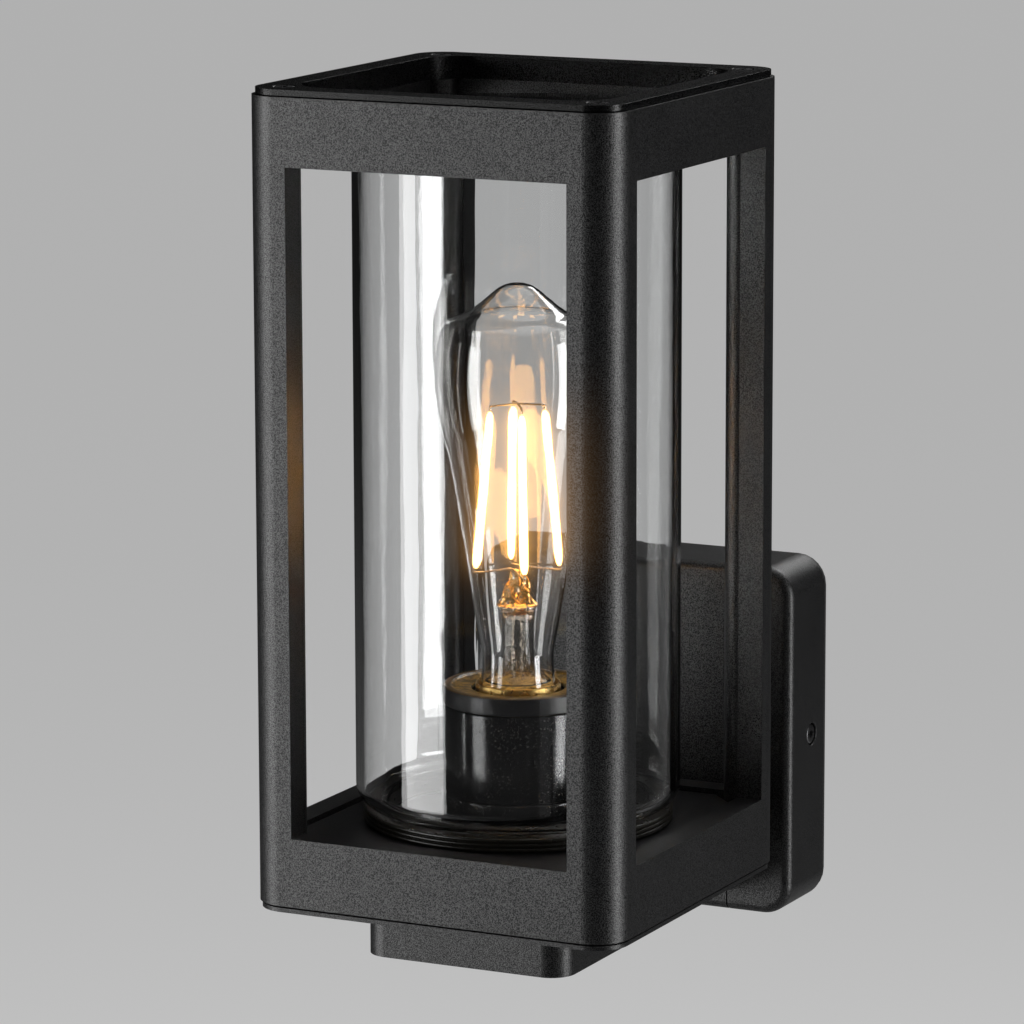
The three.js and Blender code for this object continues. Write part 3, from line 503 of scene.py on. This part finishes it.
def boolean(obj, bm, operation):
    tool = as_object(bm, "tool")
    step = obj.modifiers.new("step", "BOOLEAN")
    step.object, step.operation, step.solver = tool, operation, "EXACT"
    settle(obj)
    bpy.data.objects.remove(tool)


def as_mesh(obj):
    """obj's mesh in a new bmesh; obj goes."""
    bm = bmesh.new()
    bm.from_mesh(obj.data)
    bpy.data.objects.remove(obj)
    return bm


def combine(base, joined=(), removed=()):
    """base with the joined meshes added and the removed ones cut away."""
    obj = as_object(base, "work")
    for bm in joined:
        boolean(obj, bm, "UNION")
    for bm in removed:
        boolean(obj, bm, "DIFFERENCE")
    bm = as_mesh(obj)
    bmesh.ops.remove_doubles(bm, verts=bm.verts, dist=1e-4)
    return bm


BEVEL_FROM = math.radians(28)
SHARP_FROM = math.radians(40)


def round_edges(obj, width):
    bevel = obj.modifiers.new("bevel", "BEVEL")
    bevel.width, bevel.segments = width * MM, 3
    bevel.limit_method, bevel.angle_limit = "ANGLE", BEVEL_FROM
    bevel.use_clamp_overlap = True
    bevel.miter_outer = "MITER_ARC"
    settle(obj)


def piece(name, bm, finish, body="lantern", at=ORIGIN, bevel=0.0):
    """Turns a mesh in millimetres into a finished piece that stands for its CAD node."""
    moved(bm, at)
    bmesh.ops.scale(bm, vec=(MM, MM, MM), verts=bm.verts)
    obj = as_object(bm, "visual_" + name)
    if bevel:
        round_edges(obj, bevel)
    obj.data.shade_smooth()
    obj.data.set_sharp_from_angle(angle=SHARP_FROM)
    if bevel:
        even = obj.modifiers.new("normals", "WEIGHTED_NORMAL")
        even.keep_sharp = True
        even.weight = 80
        settle(obj)
    obj.data.materials.clear()
    obj.data.materials.append(MATERIALS[finish])
    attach(obj, body)
    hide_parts(name)


# ---- cage, ring, base plate, tray -----------------------------------------------------------

SCREW_HOLE, CLEAR_HOLE = 1.85, 2.3
COLUMN = 52.3
CORNERS = [(x * COLUMN, y * COLUMN) for x, y in ((-1, -1), (1, -1), (1, 1), (-1, 1))]
TRAY_SCREWS = [(-44, 0), (44, 0)]
HOLDER_SCREW_X = 15.5
PLATE_SCREW_Y = {"front": -30, "back": 40}
CABLE_WAY = 11


def sunk_hole(depth):
    """A cutter for a countersunk screw's hole, with the face that it is cut in at z = 0."""
    profile = [(0, -depth), (SCREW_HOLE, -depth), (SCREW_HOLE, -1.8), (3.6, -0.1), (3.6, 1), (0, 1)]
    return lathe(profile, 32)


def cage():
    outer, inner, height = 62.5, 54.1, 249.9
    window, reach, sill, lintel = 46.9, 64, 21.6, 228.8
    shell = combine(
        prism(rounded_square(outer, 11.1, 20), 0, height),
        removed=[prism(rounded_square(inner, 1.2, 4), -1, 251),
                 slab(-window, window, -reach, reach, sill, lintel),
                 slab(-reach, reach, -window, window, sill, lintel)],
    )
    column = [(0, 0), (4.8, 0), (4.8, 244.6), (0, 244.6)]
    return combine(
        shell,
        joined=[moved(lathe(column, 40), (x, y, 0)) for x, y in CORNERS],
        removed=[bar((x, y, low), (x, y, low + 15), SCREW_HOLE, 20)
                 for x, y in CORNERS for low in (-1, 230.6)],
    )


def top_ring():
    top = 252.1
    return combine(
        prism(rounded_square(61.4, 10, 20), 250.2, top),
        joined=[prism(rounded_square(53.8, 0.9, 4), 244.9, 251)],
        removed=[prism(rounded_square(52, 13, 20), 240, 255),
                 *[moved(sunk_hole(12), (x, y, top)) for x, y in CORNERS]],
    )


def base_plate():
    low, top = -2.1, -0.3
    from_below = Matrix.Rotation(math.pi, 4, "X")
    return combine(
        prism(rounded_square(61.8, 10.4, 20), low, -0.75),
        joined=[prism(rounded_square(59.5, 8.1, 20), -1.5, top)],
        removed=[bar((0, 0, -5), (0, 0, 5), CABLE_WAY, 48),
                 *[moved(sunk_hole(5), (x, y, low), from_below) for x, y in [*CORNERS, *TRAY_SCREWS]],
                 *[moved(sunk_hole(5), (0, y, top)) for y in PLATE_SCREW_Y.values()]],
    )


def seat_tray():
    top = 20
    tray = combine(
        prism(clipped_square(53.8, 43.4), 0, top),
        removed=[prism(clipped_square(51.3, 42.15), -1, 17.5)],
    )
    groove = [(40.6, 14.2), (43.9, 14.2), (43.9, 22), (40.6, 22)]
    return combine(
        tray,
        joined=[bar((0, 0, 11), (0, 0, top), 47, 96),
                *[bar((x, y, 0), (x, y, 12), 4.2) for x, y in TRAY_SCREWS]],
        removed=[lathe(groove, 128, closed=True),
                 bar((0, 0, -1), (0, 0, 22), CABLE_WAY, 48),
                 *[bar((s * HOLDER_SCREW_X, 0, 12), (s * HOLDER_SCREW_X, 0, 22), SCREW_HOLE, 20)
                   for s in (-1, 1)],
                 *[bar((x, y, -1), (x, y, 9), SCREW_HOLE, 20) for x, y in TRAY_SCREWS]],
    )


piece("cage", cage(), "powder_coat", at=HEAD, bevel=0.45)
piece("top_ring", top_ring(), "ring_coat", at=HEAD, bevel=0.35)
piece("base_plate", base_plate(), "powder_coat", at=HEAD, bevel=0.18)
piece("seat_tray", seat_tray(), "powder_coat", at=HEAD, bevel=0.4)

# ---- screws ---------------------------------------------------------------------------------

THREAD_PITCH, THREAD_STEPS, THREAD_DEPTH = 0.75, 10, 0.18


def star(radius, depth):
    """A six-lobed driver recess, as a cutter from z = -depth up."""
    lobed = [(a, radius * (0.86 + 0.14 * math.cos(6 * a))) for a in circle(72)]
    return prism([(r * math.cos(a), r * math.sin(a)) for a, r in lobed], -depth, 2)


def screw(head, rise, shank, length, countersunk):
    """A threaded screw whose head's top is at the origin."""
    thread = []
    top = -rise - 0.6
    z = -length
    while z < top:
        wave = math.cos(2 * math.pi * z / THREAD_PITCH) - 1
        thread.append((shank + THREAD_DEPTH / 2 * wave, z))
        z += THREAD_PITCH / THREAD_STEPS
    if countersunk:
        neck = [(shank, top)]
        crown = [(head, -0.25), (head - 0.25, 0)]
    else:
        neck = [(shank, top), (shank, -rise), (head, -rise)]
        crown = arc(head - 0.8, -0.8, 0.8, 0, 90, 6)
    profile = [(0, -length), (shank * 0.6, -length), *thread, *neck, *crown, (0, 0)]
    return combine(lathe(profile, 32), removed=[star(radius=1.5, depth=0.9)])


def place_screw(name, size, length, position, direction, finish, at=ORIGIN):
    turn = Vector((0, 0, -1)).rotation_difference(Vector(direction)).to_matrix().to_4x4()
    piece(name, moved(screw(length=length, **size), position, turn), finish, at=at)


SUNK = {"head": 3.3, "rise": 1.5, "shank": 1.5, "countersunk": True}
PAN = {"head": 3.3, "rise": 1.8, "shank": 2, "countersunk": False}
THIN_PAN = {**PAN, "shank": 1.5}
SMALL_PAN = {"head": 2.8, "rise": 1.5, "shank": 1.5, "countersunk": False}
UP, DOWN, FORWARD = (0, 0, 1), (0, 0, -1), (0, -1, 0)
BOX_SCREW_Y = -11.7
ARM_SCREW_X, ARM_SCREW_Z = 40.6, -42.7

for i, (x, y) in enumerate(CORNERS):
    place_screw(f"ring_screw_{i + 1}", SUNK, 16, (x, y, 252), DOWN, "black_screw", HEAD)
    place_screw(f"base_screw_{i + 1}", SUNK, 14, (x, y, -2), UP, "black_screw", HEAD)
for (side, sign), (x, y) in zip(SIDES, TRAY_SCREWS):
    inwards = (-sign, 0, 0)
    box_at = (sign * 56.95, BOX_SCREW_Y, 0)
    arm_at = (sign * ARM_SCREW_X, -20.8, ARM_SCREW_Z)
    holder_at = (sign * HOLDER_SCREW_X, 0, 24.6)
    place_screw(f"tray_screw_{side}", SUNK, 10, (x, y, -2), UP, "black_screw", HEAD)
    place_screw(f"box_screw_{side}", PAN, 10.5, box_at, inwards, "black_screw")
    place_screw(f"arm_screw_{side}", THIN_PAN, 7.2, arm_at, FORWARD, "zinc_steel")
    place_screw(f"holder_screw_{side}", SMALL_PAN, 11, holder_at, DOWN, "zinc_steel", HEAD)
for side, y in PLATE_SCREW_Y.items():
    place_screw(f"plate_screw_{side}", SUNK, 11, (0, y, -0.4), DOWN, "zinc_steel", HEAD)
place_screw("earth_screw", PAN, 8, (-24, -8, -11), DOWN, "brass")

# ---- jar, gasket, lampholder ----------------------------------------------------------------


def glass_jar():
    """The jar stands on its rim, upside down, so its closed end is at the top."""
    outside = [(43.5, 15.1), (43.5, 24.6), *arc(43.7, 32, 7, -80, 0, 14),
               *arc(47.7, 239.2, 3, 0, 90, 12), (0, 242.2)]
    inside = [(0, 239.7), *arc(45.6, 237.1, 2.6, 90, 0, 8), *arc(43.7, 32, 4.5, 0, -80, 10),
              (41, 27), (41, 15.1)]
    lip = arc(42.25, 15.1, 1.25, 180, 360, 8)[1:-1]
    return lathe([*inside, *lip, *outside], 192)


def jar_gasket(ribs=3):
    low, top = 20.3, 24.7
    outline = []
    for i in range(ribs):
        outline += arc(47.7, low + (i + 0.5) * (top - low) / ribs, 0.7, -85, 85, 8)
    return lathe([(43.9, low), *outline, (43.9, top)], 128, closed=True)


def holder_base():
    profile = [(11, 20.3), (24, 20.3), (24, 29), (20.6, 29), (20.6, 22.8), (11, 22.8)]
    holes = [bar((s * HOLDER_SCREW_X, 0, 10), (s * HOLDER_SCREW_X, 0, 26), SCREW_HOLE, 20)
             for s in (-1, 1)]
    return combine(softened_ring(profile, 0.5), removed=holes)


SLEEVE = [(20.6, 29.3), (23, 29.3), (23, 57), (20.6, 57)]
COLLAR = [(14.5, 60.6), (21.2, 60.6), (21.2, 57.3), (23.5, 57.3), (23.5, 62.6), (23.1, 63),
          (21.3, 63), (20.5, 62.3), (14.5, 61.9)]
INSERT = [(0, 31), (20.2, 31), (20.2, 56), (14.9, 56), (14.9, 34.5), (0, 34.5)]
SHELL = [(6, 34.8), (14.3, 34.8), (14.3, 59.8), (13.6, 59.8), (13.6, 35.5), (6, 35.5)]
CONTACT = [(0, 34.8), (4.5, 34.8), (4.5, 36.4), (2.5, 36.4), (2.2, 37.2), (0, 37.2)]

piece("glass_jar", glass_jar(), "jar_glass", body="jar", at=HEAD)
piece("jar_gasket", jar_gasket(), "silicone", at=HEAD)
piece("holder_base", holder_base(), "black_plastic", at=HEAD)
piece("holder_sleeve", softened_ring(SLEEVE, 0.5), "black_plastic", at=HEAD)
piece("holder_collar", softened_ring(COLLAR, 0.45), "collar_plastic", at=HEAD)
piece("holder_insert", lathe(softened(INSERT, 0.4), 96), "white_plastic", at=HEAD)
piece("socket_shell", softened_ring(SHELL, 0.25, 96), "brass", at=HEAD)
piece("socket_contact", lathe(softened(CONTACT, 0.2), 48), "brass", at=HEAD)

# ---- bulb -----------------------------------------------------------------------------------

BULB_TOP = 189.2
BULB = [(12.1, 60.5), (11.3, 66), (11.1, 72), (12.1, 79), (13.4, 86), (15.8, 101), (18.9, 121),
        (21.6, 135), (24.2, 147), (25.3, 157.5), (25.0, 166), (23.9, 173.5), (22.2, 176.8),
        (19.4, 178.4), (15.6, 179.9), (12.6, 181.9), (9.6, 184.3), (6.2, 187.3), (3.0, 188.8),
        (0, BULB_TOP)]
BULB_WALL = 0.6
CAP_PITCH = 3.629
CEMENT = [(0, 57.6), (12.2, 57.6), (12.2, 58.7), (10.9, 60), (10.8, 62.9), (0, 63.1)]
INSULATOR = [(0, 39.3), (6, 39.3), (10.2, 43.2), (10.2, 43.7), (0, 43.7)]
TIP = [(0, 37.5), (3.6, 37.5), (4.6, 38.2), (4.6, 39), (0, 39)]


def inset(points, wall):
    """The inner side of a wall, for an outline that ends on the axis."""
    out = []
    for i, p in enumerate(points):
        run = points[min(i + 1, len(points) - 1)] - points[max(i - 1, 0)]
        inward = Vector((-run.y, run.x)).normalized()
        out.append(Vector((max(p.x + wall * inward.x, 0), p.y + wall * inward.y)))
    out[0] = Vector((points[0].x - wall, points[0].y))
    out[-1] = Vector((0, points[-1].y - wall))
    return out


def bulb_glass():
    outside = spline(BULB, 5)
    outside[-1] = Vector((0, BULB_TOP))
    return lathe([*inset(outside, BULB_WALL)[::-1], *outside], 128)


def bulb_cap(sides=96, steps=12):
    """A thin shell with a rolled screw thread, and the cement inside its rim."""
    low, top, core, ridge = 45.5, 56.5, 12.2, 0.9
    rows = [(9, 44, 0), (11.6, 44, 0)]
    count = round((top - low) / (CAP_PITCH / steps))
    for i in range(count + 1):
        fade = min(1, i / steps, (count - i) / steps)
        rows.append((core, low + i * CAP_PITCH / steps, ridge * fade))
    rows += [(r, z, 0) for r, z in (
        (12.4, 57.4), (12.9, 58), (13.2, 58.6), (13.2, 63.2), (13.1, 63.4), (12.6, 63.4),
        (12.55, 63.1), (12.55, 58.8), (11.6, 58), (11.6, 45.4), (9, 44.8))]
    bm = bmesh.new()
    rings = []
    for r, z, thread in rows:
        ring = []
        for a in circle(sides):
            wide = r + thread * 0.5 * (1 + math.cos(2 * math.pi * z / CAP_PITCH - a))
            ring.append(bm.verts.new((wide * math.cos(a), wide * math.sin(a), z)))
        rings.append(ring)
    for a, b in zip(rings, [*rings[1:], rings[0]]):
        band(bm, a, b)
    bmesh.ops.recalc_face_normals(bm, faces=bm.faces)
    return combine(bm, joined=[lathe(CEMENT, 64)])


piece("bulb_glass", bulb_glass(), "bulb_glass", body="bulb", at=HEAD)
piece("bulb_cap", bulb_cap(), "cap_brass", body="bulb", at=HEAD)
piece("cap_insulator", lathe(softened(INSULATOR, 0.2), 64), "black_plastic", body="bulb", at=HEAD)
piece("tip_contact", lathe(softened(TIP, 0.4), 48), "nickel", body="bulb_tip", at=HEAD)

FILAMENTS = 4
TURN = 34.9  # degrees from +X to the first filament
PINCH_FROM, PINCH_TOP = 86.6, 99.3
STEM_OUTSIDE = [(10.2, 64), (7.2, 67), (5.6, 71), (5.1, 76), (5.0, 82), (5.1, PINCH_FROM)]
STEM_INSIDE = [(9.2, 64), (6.2, 67.4), (4.5, 71.4), (4.0, 76), (3.9, 85), (0, 87.3)]
PINCH = [(5.3, PINCH_FROM), (6.6, 87.8), (6.5, 88.8), (5.3, 92), (4.0, 95), (2.6, 98), (1.5, 99.1),
         (0, PINCH_TOP)]


def beside(i, radius, z):
    """A point at a radius from the bulb's axis, in the direction of filament i."""
    a = math.radians(TURN + i * 360 / FILAMENTS)
    return Vector((radius * math.cos(a), radius * math.sin(a), z))


def bulb_stem():
    """A flared glass tube whose top is pressed flat and crumpled round the wires."""
    outside, inside, top = spline(STEM_OUTSIDE, 4), spline(STEM_INSIDE, 4), spline(PINCH, 5)
    profile = [*inside[::-1], *outside[:-1], *top[:-1]]
    bm = lathe([*[tuple(p) for p in profile], (0, PINCH_TOP)], 72)
    chance = random.Random(5)
    lumps = [(chance.uniform(0, 2 * math.pi), chance.uniform(88, 98), chance.uniform(0.5, 1.3),
              chance.uniform(0.7, 1.7)) for _ in range(60)]
    turn = math.radians(TURN)
    wide = Vector((math.cos(turn), math.sin(turn), 0))
    deep = Vector((-wide.y, wide.x, 0))
    for v in bm.verts:
        if v.co.z < PINCH_FROM:
            continue
        amount = min((v.co.z - PINCH_FROM) / 2, 1)
        angle = math.atan2(v.co.y, v.co.x)
        radius = math.hypot(v.co.x, v.co.y)
        for at, height, size, spread in lumps:
            apart = (angle - at + math.pi) % (2 * math.pi) - math.pi
            near = math.exp(-((apart * 4.5) ** 2 + (v.co.z - height) ** 2) / spread ** 2)
            radius -= size * near * amount * min(radius / 3, 1)
        radius = max(radius, 0)
        along = wide * math.cos(angle - turn) * radius
        across = deep * math.sin(angle - turn) * radius * (1 - 0.35 * amount)
        v.co = along + across + Vector((0, 0, v.co.z))
    return bm


def filament(i):
    foot, top = beside(i, 13, 100), beside(i, 8.5, 149)
    start = ((0, 0.5), (0.015, 0.9), (0.03, 1.1), (0.06, 1.25), (0.12, 1.3))
    shape = [*start, (0.5, 1.3), *[(1 - t, width) for t, width in start[::-1]]]
    return tube([foot.lerp(top, t) for t, _ in shape], [width for _, width in shape], 24)


def wires(paths, radius):
    first, *others = [tube(spline(path, 6), radius, 10) for path in paths]
    return combine(first, joined=others)


def lead_in(first):
    """From inside the stem to the feet of two filaments."""
    middle = beside(first + 0.5, 2.6, 99.6)
    stem = [beside(first + 0.5, r, z) for r, z in ((2.2, 60.8), (2.3, 74), (2.0, 87), (1.6, 96))]
    paths = []
    for i in (first, first + 1):
        end = beside(i, 13.4, 98.6)
        paths.append([*stem, middle, middle.lerp(end, 0.5), end, beside(i, 13.2, 100.2)])
    return wires(paths, 0.36)


def filament_link():
    """The crossed wires that join the filaments' tops."""
    paths = []
    for i in (0, 1):
        near, far = ([beside(k, 8.4, 149.4), beside(k, 8.2, 150.8), beside(k, 4, 151.2)]
                     for k in (i, i + FILAMENTS / 2))
        paths.append([*near, (0, 0, 151.4), *far[::-1]])
    return wires(paths, 0.34)


piece("bulb_stem", bulb_stem(), "stem_glass", body="bulb", at=HEAD)
for i in range(FILAMENTS):
    piece(f"filament_{i + 1}", filament(i), "phosphor", body="bulb", at=HEAD)
piece("lead_in_live", lead_in(0), "nickel", body="bulb", at=HEAD)
piece("lead_in_neutral", lead_in(2), "nickel", body="bulb", at=HEAD)
piece("filament_link", filament_link(), "nickel", body="bulb", at=HEAD)

# ---- wall box and arm -----------------------------------------------------------------------

BOX_HALF, BOX_CORNER, BOX_EDGE, BOX_WALL = 57.25, 10, 3.0, 3
BOX_FRONT, BOX_BACK, BOX_FLOOR = -29.2, -1.8, -26.2
ARM_HALF, ARM_CORNER, ARM_WALL = 34.9, 8, 3
ARM_TOP, ARM_LOW, ARM_FRONT = -34.1, -50.7, -150.7
FLANGE_LOW = -53.95


def along_y(outline, y_front, y_back):
    return towards_front(prism(outline, -y_back, -y_front))


def box_outside(steps=10):
    """Rounded square block with a rounded front edge, as stacked outlines."""
    rows = [(-BOX_BACK, 0.0)]
    for k in range(steps + 1):
        a = math.pi / 2 * k / steps
        rows.append((-BOX_FRONT - BOX_EDGE + BOX_EDGE * math.sin(a), BOX_EDGE * (1 - math.cos(a))))
    bm = bmesh.new()
    rings = [[bm.verts.new((x, y, z))
              for x, y in rounded_square(BOX_HALF - inwards, BOX_CORNER - inwards, 16)]
             for z, inwards in rows]
    stack(bm, rings)
    bmesh.ops.recalc_face_normals(bm, faces=bm.faces)
    return towards_front(bm)


def side_bars(inner, outer, radius, sides=32):
    """Bars along the wall box's two side screws."""
    return [bar((s * inner, BOX_SCREW_Y, 0), (s * outer, BOX_SCREW_Y, 0), radius, sides)
            for s in (-1, 1)]


def arm_bars(front, radius):
    """Bars along the two screws that hold the arm's flange in the wall box."""
    return [bar((s * ARM_SCREW_X, front, ARM_SCREW_Z), (s * ARM_SCREW_X, -20, ARM_SCREW_Z), radius)
            for s in (-1, 1)]


def wall_box():
    hollow = along_y(rounded_square(BOX_HALF - BOX_WALL, BOX_CORNER - BOX_WALL, 12), BOX_FLOOR, 0)
    notch = slab(-ARM_HALF - GAP, ARM_HALF + GAP, -31, BOX_FLOOR, -60, ARM_TOP + GAP)
    return combine(
        combine(box_outside(), removed=[hollow]),
        joined=side_bars(51.7, 55.25, 6, 48),
        removed=[notch, *side_bars(45, 60, CLEAR_HOLE), *side_bars(54.85, 60, 3.7, 48),
                 *arm_bars(-28.4, SCREW_HOLE)],
    )


def root():
    """The part of the arm that continues the wall box's front."""
    obj = as_object(box_outside(), "root_block")
    low, behind = -58.25, BOX_FLOOR - GAP
    boolean(obj, slab(-ARM_HALF, ARM_HALF, -30.2, behind, low, ARM_TOP), "INTERSECT")
    return as_mesh(obj)


def support_arm():
    back, inner, half = BOX_FLOOR - 1, ARM_HALF - ARM_WALL, ARM_HALF - ARM_CORNER
    nose = ARM_FRONT + ARM_CORNER
    outline = [(ARM_HALF, back), (-ARM_HALF, back),
               *arc(-half, nose, ARM_CORNER, 180, 270, 14), *arc(half, nose, ARM_CORNER, 270, 360, 14)]
    under, inside_top, inside_low = ARM_FRONT + ARM_WALL, ARM_TOP - ARM_WALL, ARM_LOW + ARM_WALL
    arm = combine(
        prism(outline, ARM_LOW, ARM_TOP),
        removed=[slab(-inner, inner, under, -33.2, inside_low, inside_top),
                 slab(-inner, inner, under, -55, inside_low, ARM_TOP + 1)],
    )
    neck = slab(-ARM_HALF, ARM_HALF, back, BOX_FLOOR + 1.3, FLANGE_LOW, ARM_TOP)
    flange = slab(-46, 46, -25.9, -22.9, FLANGE_LOW, -24)
    cable_way = slab(-20, 20, -34.2, -20, -47.7, -35.2)
    plate_screws = [y + HEAD.y for y in PLATE_SCREW_Y.values()]
    return combine(
        arm,
        joined=[root(), neck, flange,
                *[bar((0, y, ARM_LOW + 1), (0, y, ARM_TOP), 4) for y in plate_screws]],
        removed=[cable_way,
                 *[bar((0, y, ARM_TOP - 11), (0, y, ARM_TOP + 1), SCREW_HOLE) for y in plate_screws],
                 *arm_bars(-30, CLEAR_HOLE)],
    )


piece("wall_box", wall_box(), "powder_coat", bevel=0.25)
piece("support_arm", support_arm(), "powder_coat", bevel=0.3)

# ---- what stays of the CAD: softer edges and its own finish ---------------------------------

SLOT_OF = {part["node"]: part["material_slot"] for part in frame["record"]["subparts"]}
FLAT_UP_TO = math.radians(1)

for name, node in frame["nodes"].items():
    if node.hide_render:
        continue
    node.data.materials.clear()
    node.data.materials.append(MATERIALS[SLOT_OF[name]])
    if name.endswith("_lead"):
        round_off = node.modifiers.new("subdivide", "SUBSURF")
        round_off.levels = round_off.render_levels = 1
        continue
    dissolve = node.modifiers.new("flats", "DECIMATE")
    dissolve.decimate_type, dissolve.angle_limit = "DISSOLVE", FLAT_UP_TO
    bevel = node.modifiers.new("bevel", "BEVEL")
    bevel.width, bevel.segments = 0.18 * MM, 2
    bevel.limit_method, bevel.angle_limit = "ANGLE", SHARP_FROM

# ---- floor, world, lamps, camera ------------------------------------------------------------

scene = bpy.context.scene
FLOOR_Z, FLOOR_RADIUS = -0.62, 40
SEEN, UNSEEN = 0.43, 0.012


def seen_strength(tree, seen, otherwise):
    """A strength for rays straight from the camera or through glass, and one for the others."""
    path = tree.nodes.new("ShaderNodeLightPath")
    bounces = tree.nodes.new("ShaderNodeMath")
    tree.links.new(path.outputs["Glossy Depth"], bounces.inputs[0])
    tree.links.new(path.outputs["Diffuse Depth"], bounces.inputs[1])
    level = tree.nodes.new("ShaderNodeMapRange")
    tree.links.new(bounces.outputs[0], level.inputs["Value"])
    for socket, value in (("From Min", 0), ("From Max", 1), ("To Min", seen), ("To Max", otherwise)):
        level.inputs[socket].default_value = value
    return level.outputs["Result"]


pale = Nodes("pale_floor", Roughness=0.85)
pale.colour(pale.mixed(pale.noise(1.2, detail=3), (0.40, 0.40, 0.40), (0.43, 0.43, 0.426)))
pale.shader.inputs["Emission Color"].default_value = (1.0, 1.0, 1.0, 1.0)
pale.link(seen_strength(pale.tree, SEEN, 0.0), pale.shader.inputs["Emission Strength"])
disc = bmesh.new()
bmesh.ops.create_circle(disc, cap_ends=True, segments=96, radius=FLOOR_RADIUS)
floor = as_object(disc, "floor")
floor.location.z = FLOOR_Z
floor.data.materials.append(pale.material)

world = bpy.data.worlds.new("studio")
scene.world = world
world.use_nodes = True
sky = world.node_tree.nodes["Background"]
sky.inputs["Color"].default_value = (1.0, 1.0, 1.0, 1.0)
world.node_tree.links.new(seen_strength(world.node_tree, SEEN, UNSEEN), sky.inputs["Strength"])

AIM = Vector((0, -0.111, 0.08))


def softbox(name, azimuth, elevation, distance, width, height, power):
    """A lamp aimed at the lantern; azimuth is measured from the front, -Y, towards +X."""
    light = bpy.data.lights.new(name, "AREA")
    light.shape, light.size, light.size_y = "RECTANGLE", width, height
    light.energy = power
    obj = bpy.data.objects.new(name, light)
    scene.collection.objects.link(obj)
    a, e = math.radians(azimuth), math.radians(elevation)
    away = Vector((math.sin(a) * math.cos(e), -math.cos(a) * math.cos(e), math.sin(e)))
    obj.location = AIM + away * distance
    obj.rotation_euler = away.to_track_quat("Z", "Y").to_euler()
    obj.visible_camera = False


softbox("key_left", -47, -6, distance=1.5, width=1.1, height=1.0, power=18)
softbox("rim_right", 94, -4, distance=1.5, width=0.42, height=1.1, power=14.5)
softbox("overhead", 150, 78, distance=1.6, width=1.6, height=1.6, power=9)
softbox("fill_back", 172, 38, distance=1.7, width=1.0, height=0.7, power=11)

CAMERA_PLACE = (0.7330, -1.5974, 0.3946)
YAW, PITCH, ROLL = 26.31, -10.57, -0.14
LENS = 191.21
camera_data = bpy.data.cameras.new("camera")
camera_data.sensor_width = 36
camera_data.lens = LENS
camera_data.clip_end = 100
camera = bpy.data.objects.new("camera", camera_data)
scene.collection.objects.link(camera)
camera.location = CAMERA_PLACE
turns = [Matrix.Rotation(math.radians(angle), 4, axis)
         for angle, axis in ((YAW, "Z"), (90 + PITCH, "X"), (ROLL, "Z"))]
camera.rotation_euler = (turns[0] @ turns[1] @ turns[2]).to_euler()
scene.camera = camera
scene.view_settings.view_transform = "Standard"

# The lit filaments bloom a little.
scene.use_nodes = True
after = scene.node_tree
after.nodes.clear()
layers = after.nodes.new("CompositorNodeRLayers")
halo = after.nodes.new("CompositorNodeGlare")
halo.glare_type = "BLOOM"
halo.quality = "HIGH"
for socket, value in (("Threshold", 1.5), ("Strength", 0.35), ("Size", 0.12), ("Maximum", 9.0)):
    halo.inputs[socket].default_value = value
picture = after.nodes.new("CompositorNodeComposite")
after.links.new(layers.outputs["Image"], halo.inputs["Image"])
after.links.new(halo.outputs["Image"], picture.inputs["Image"])
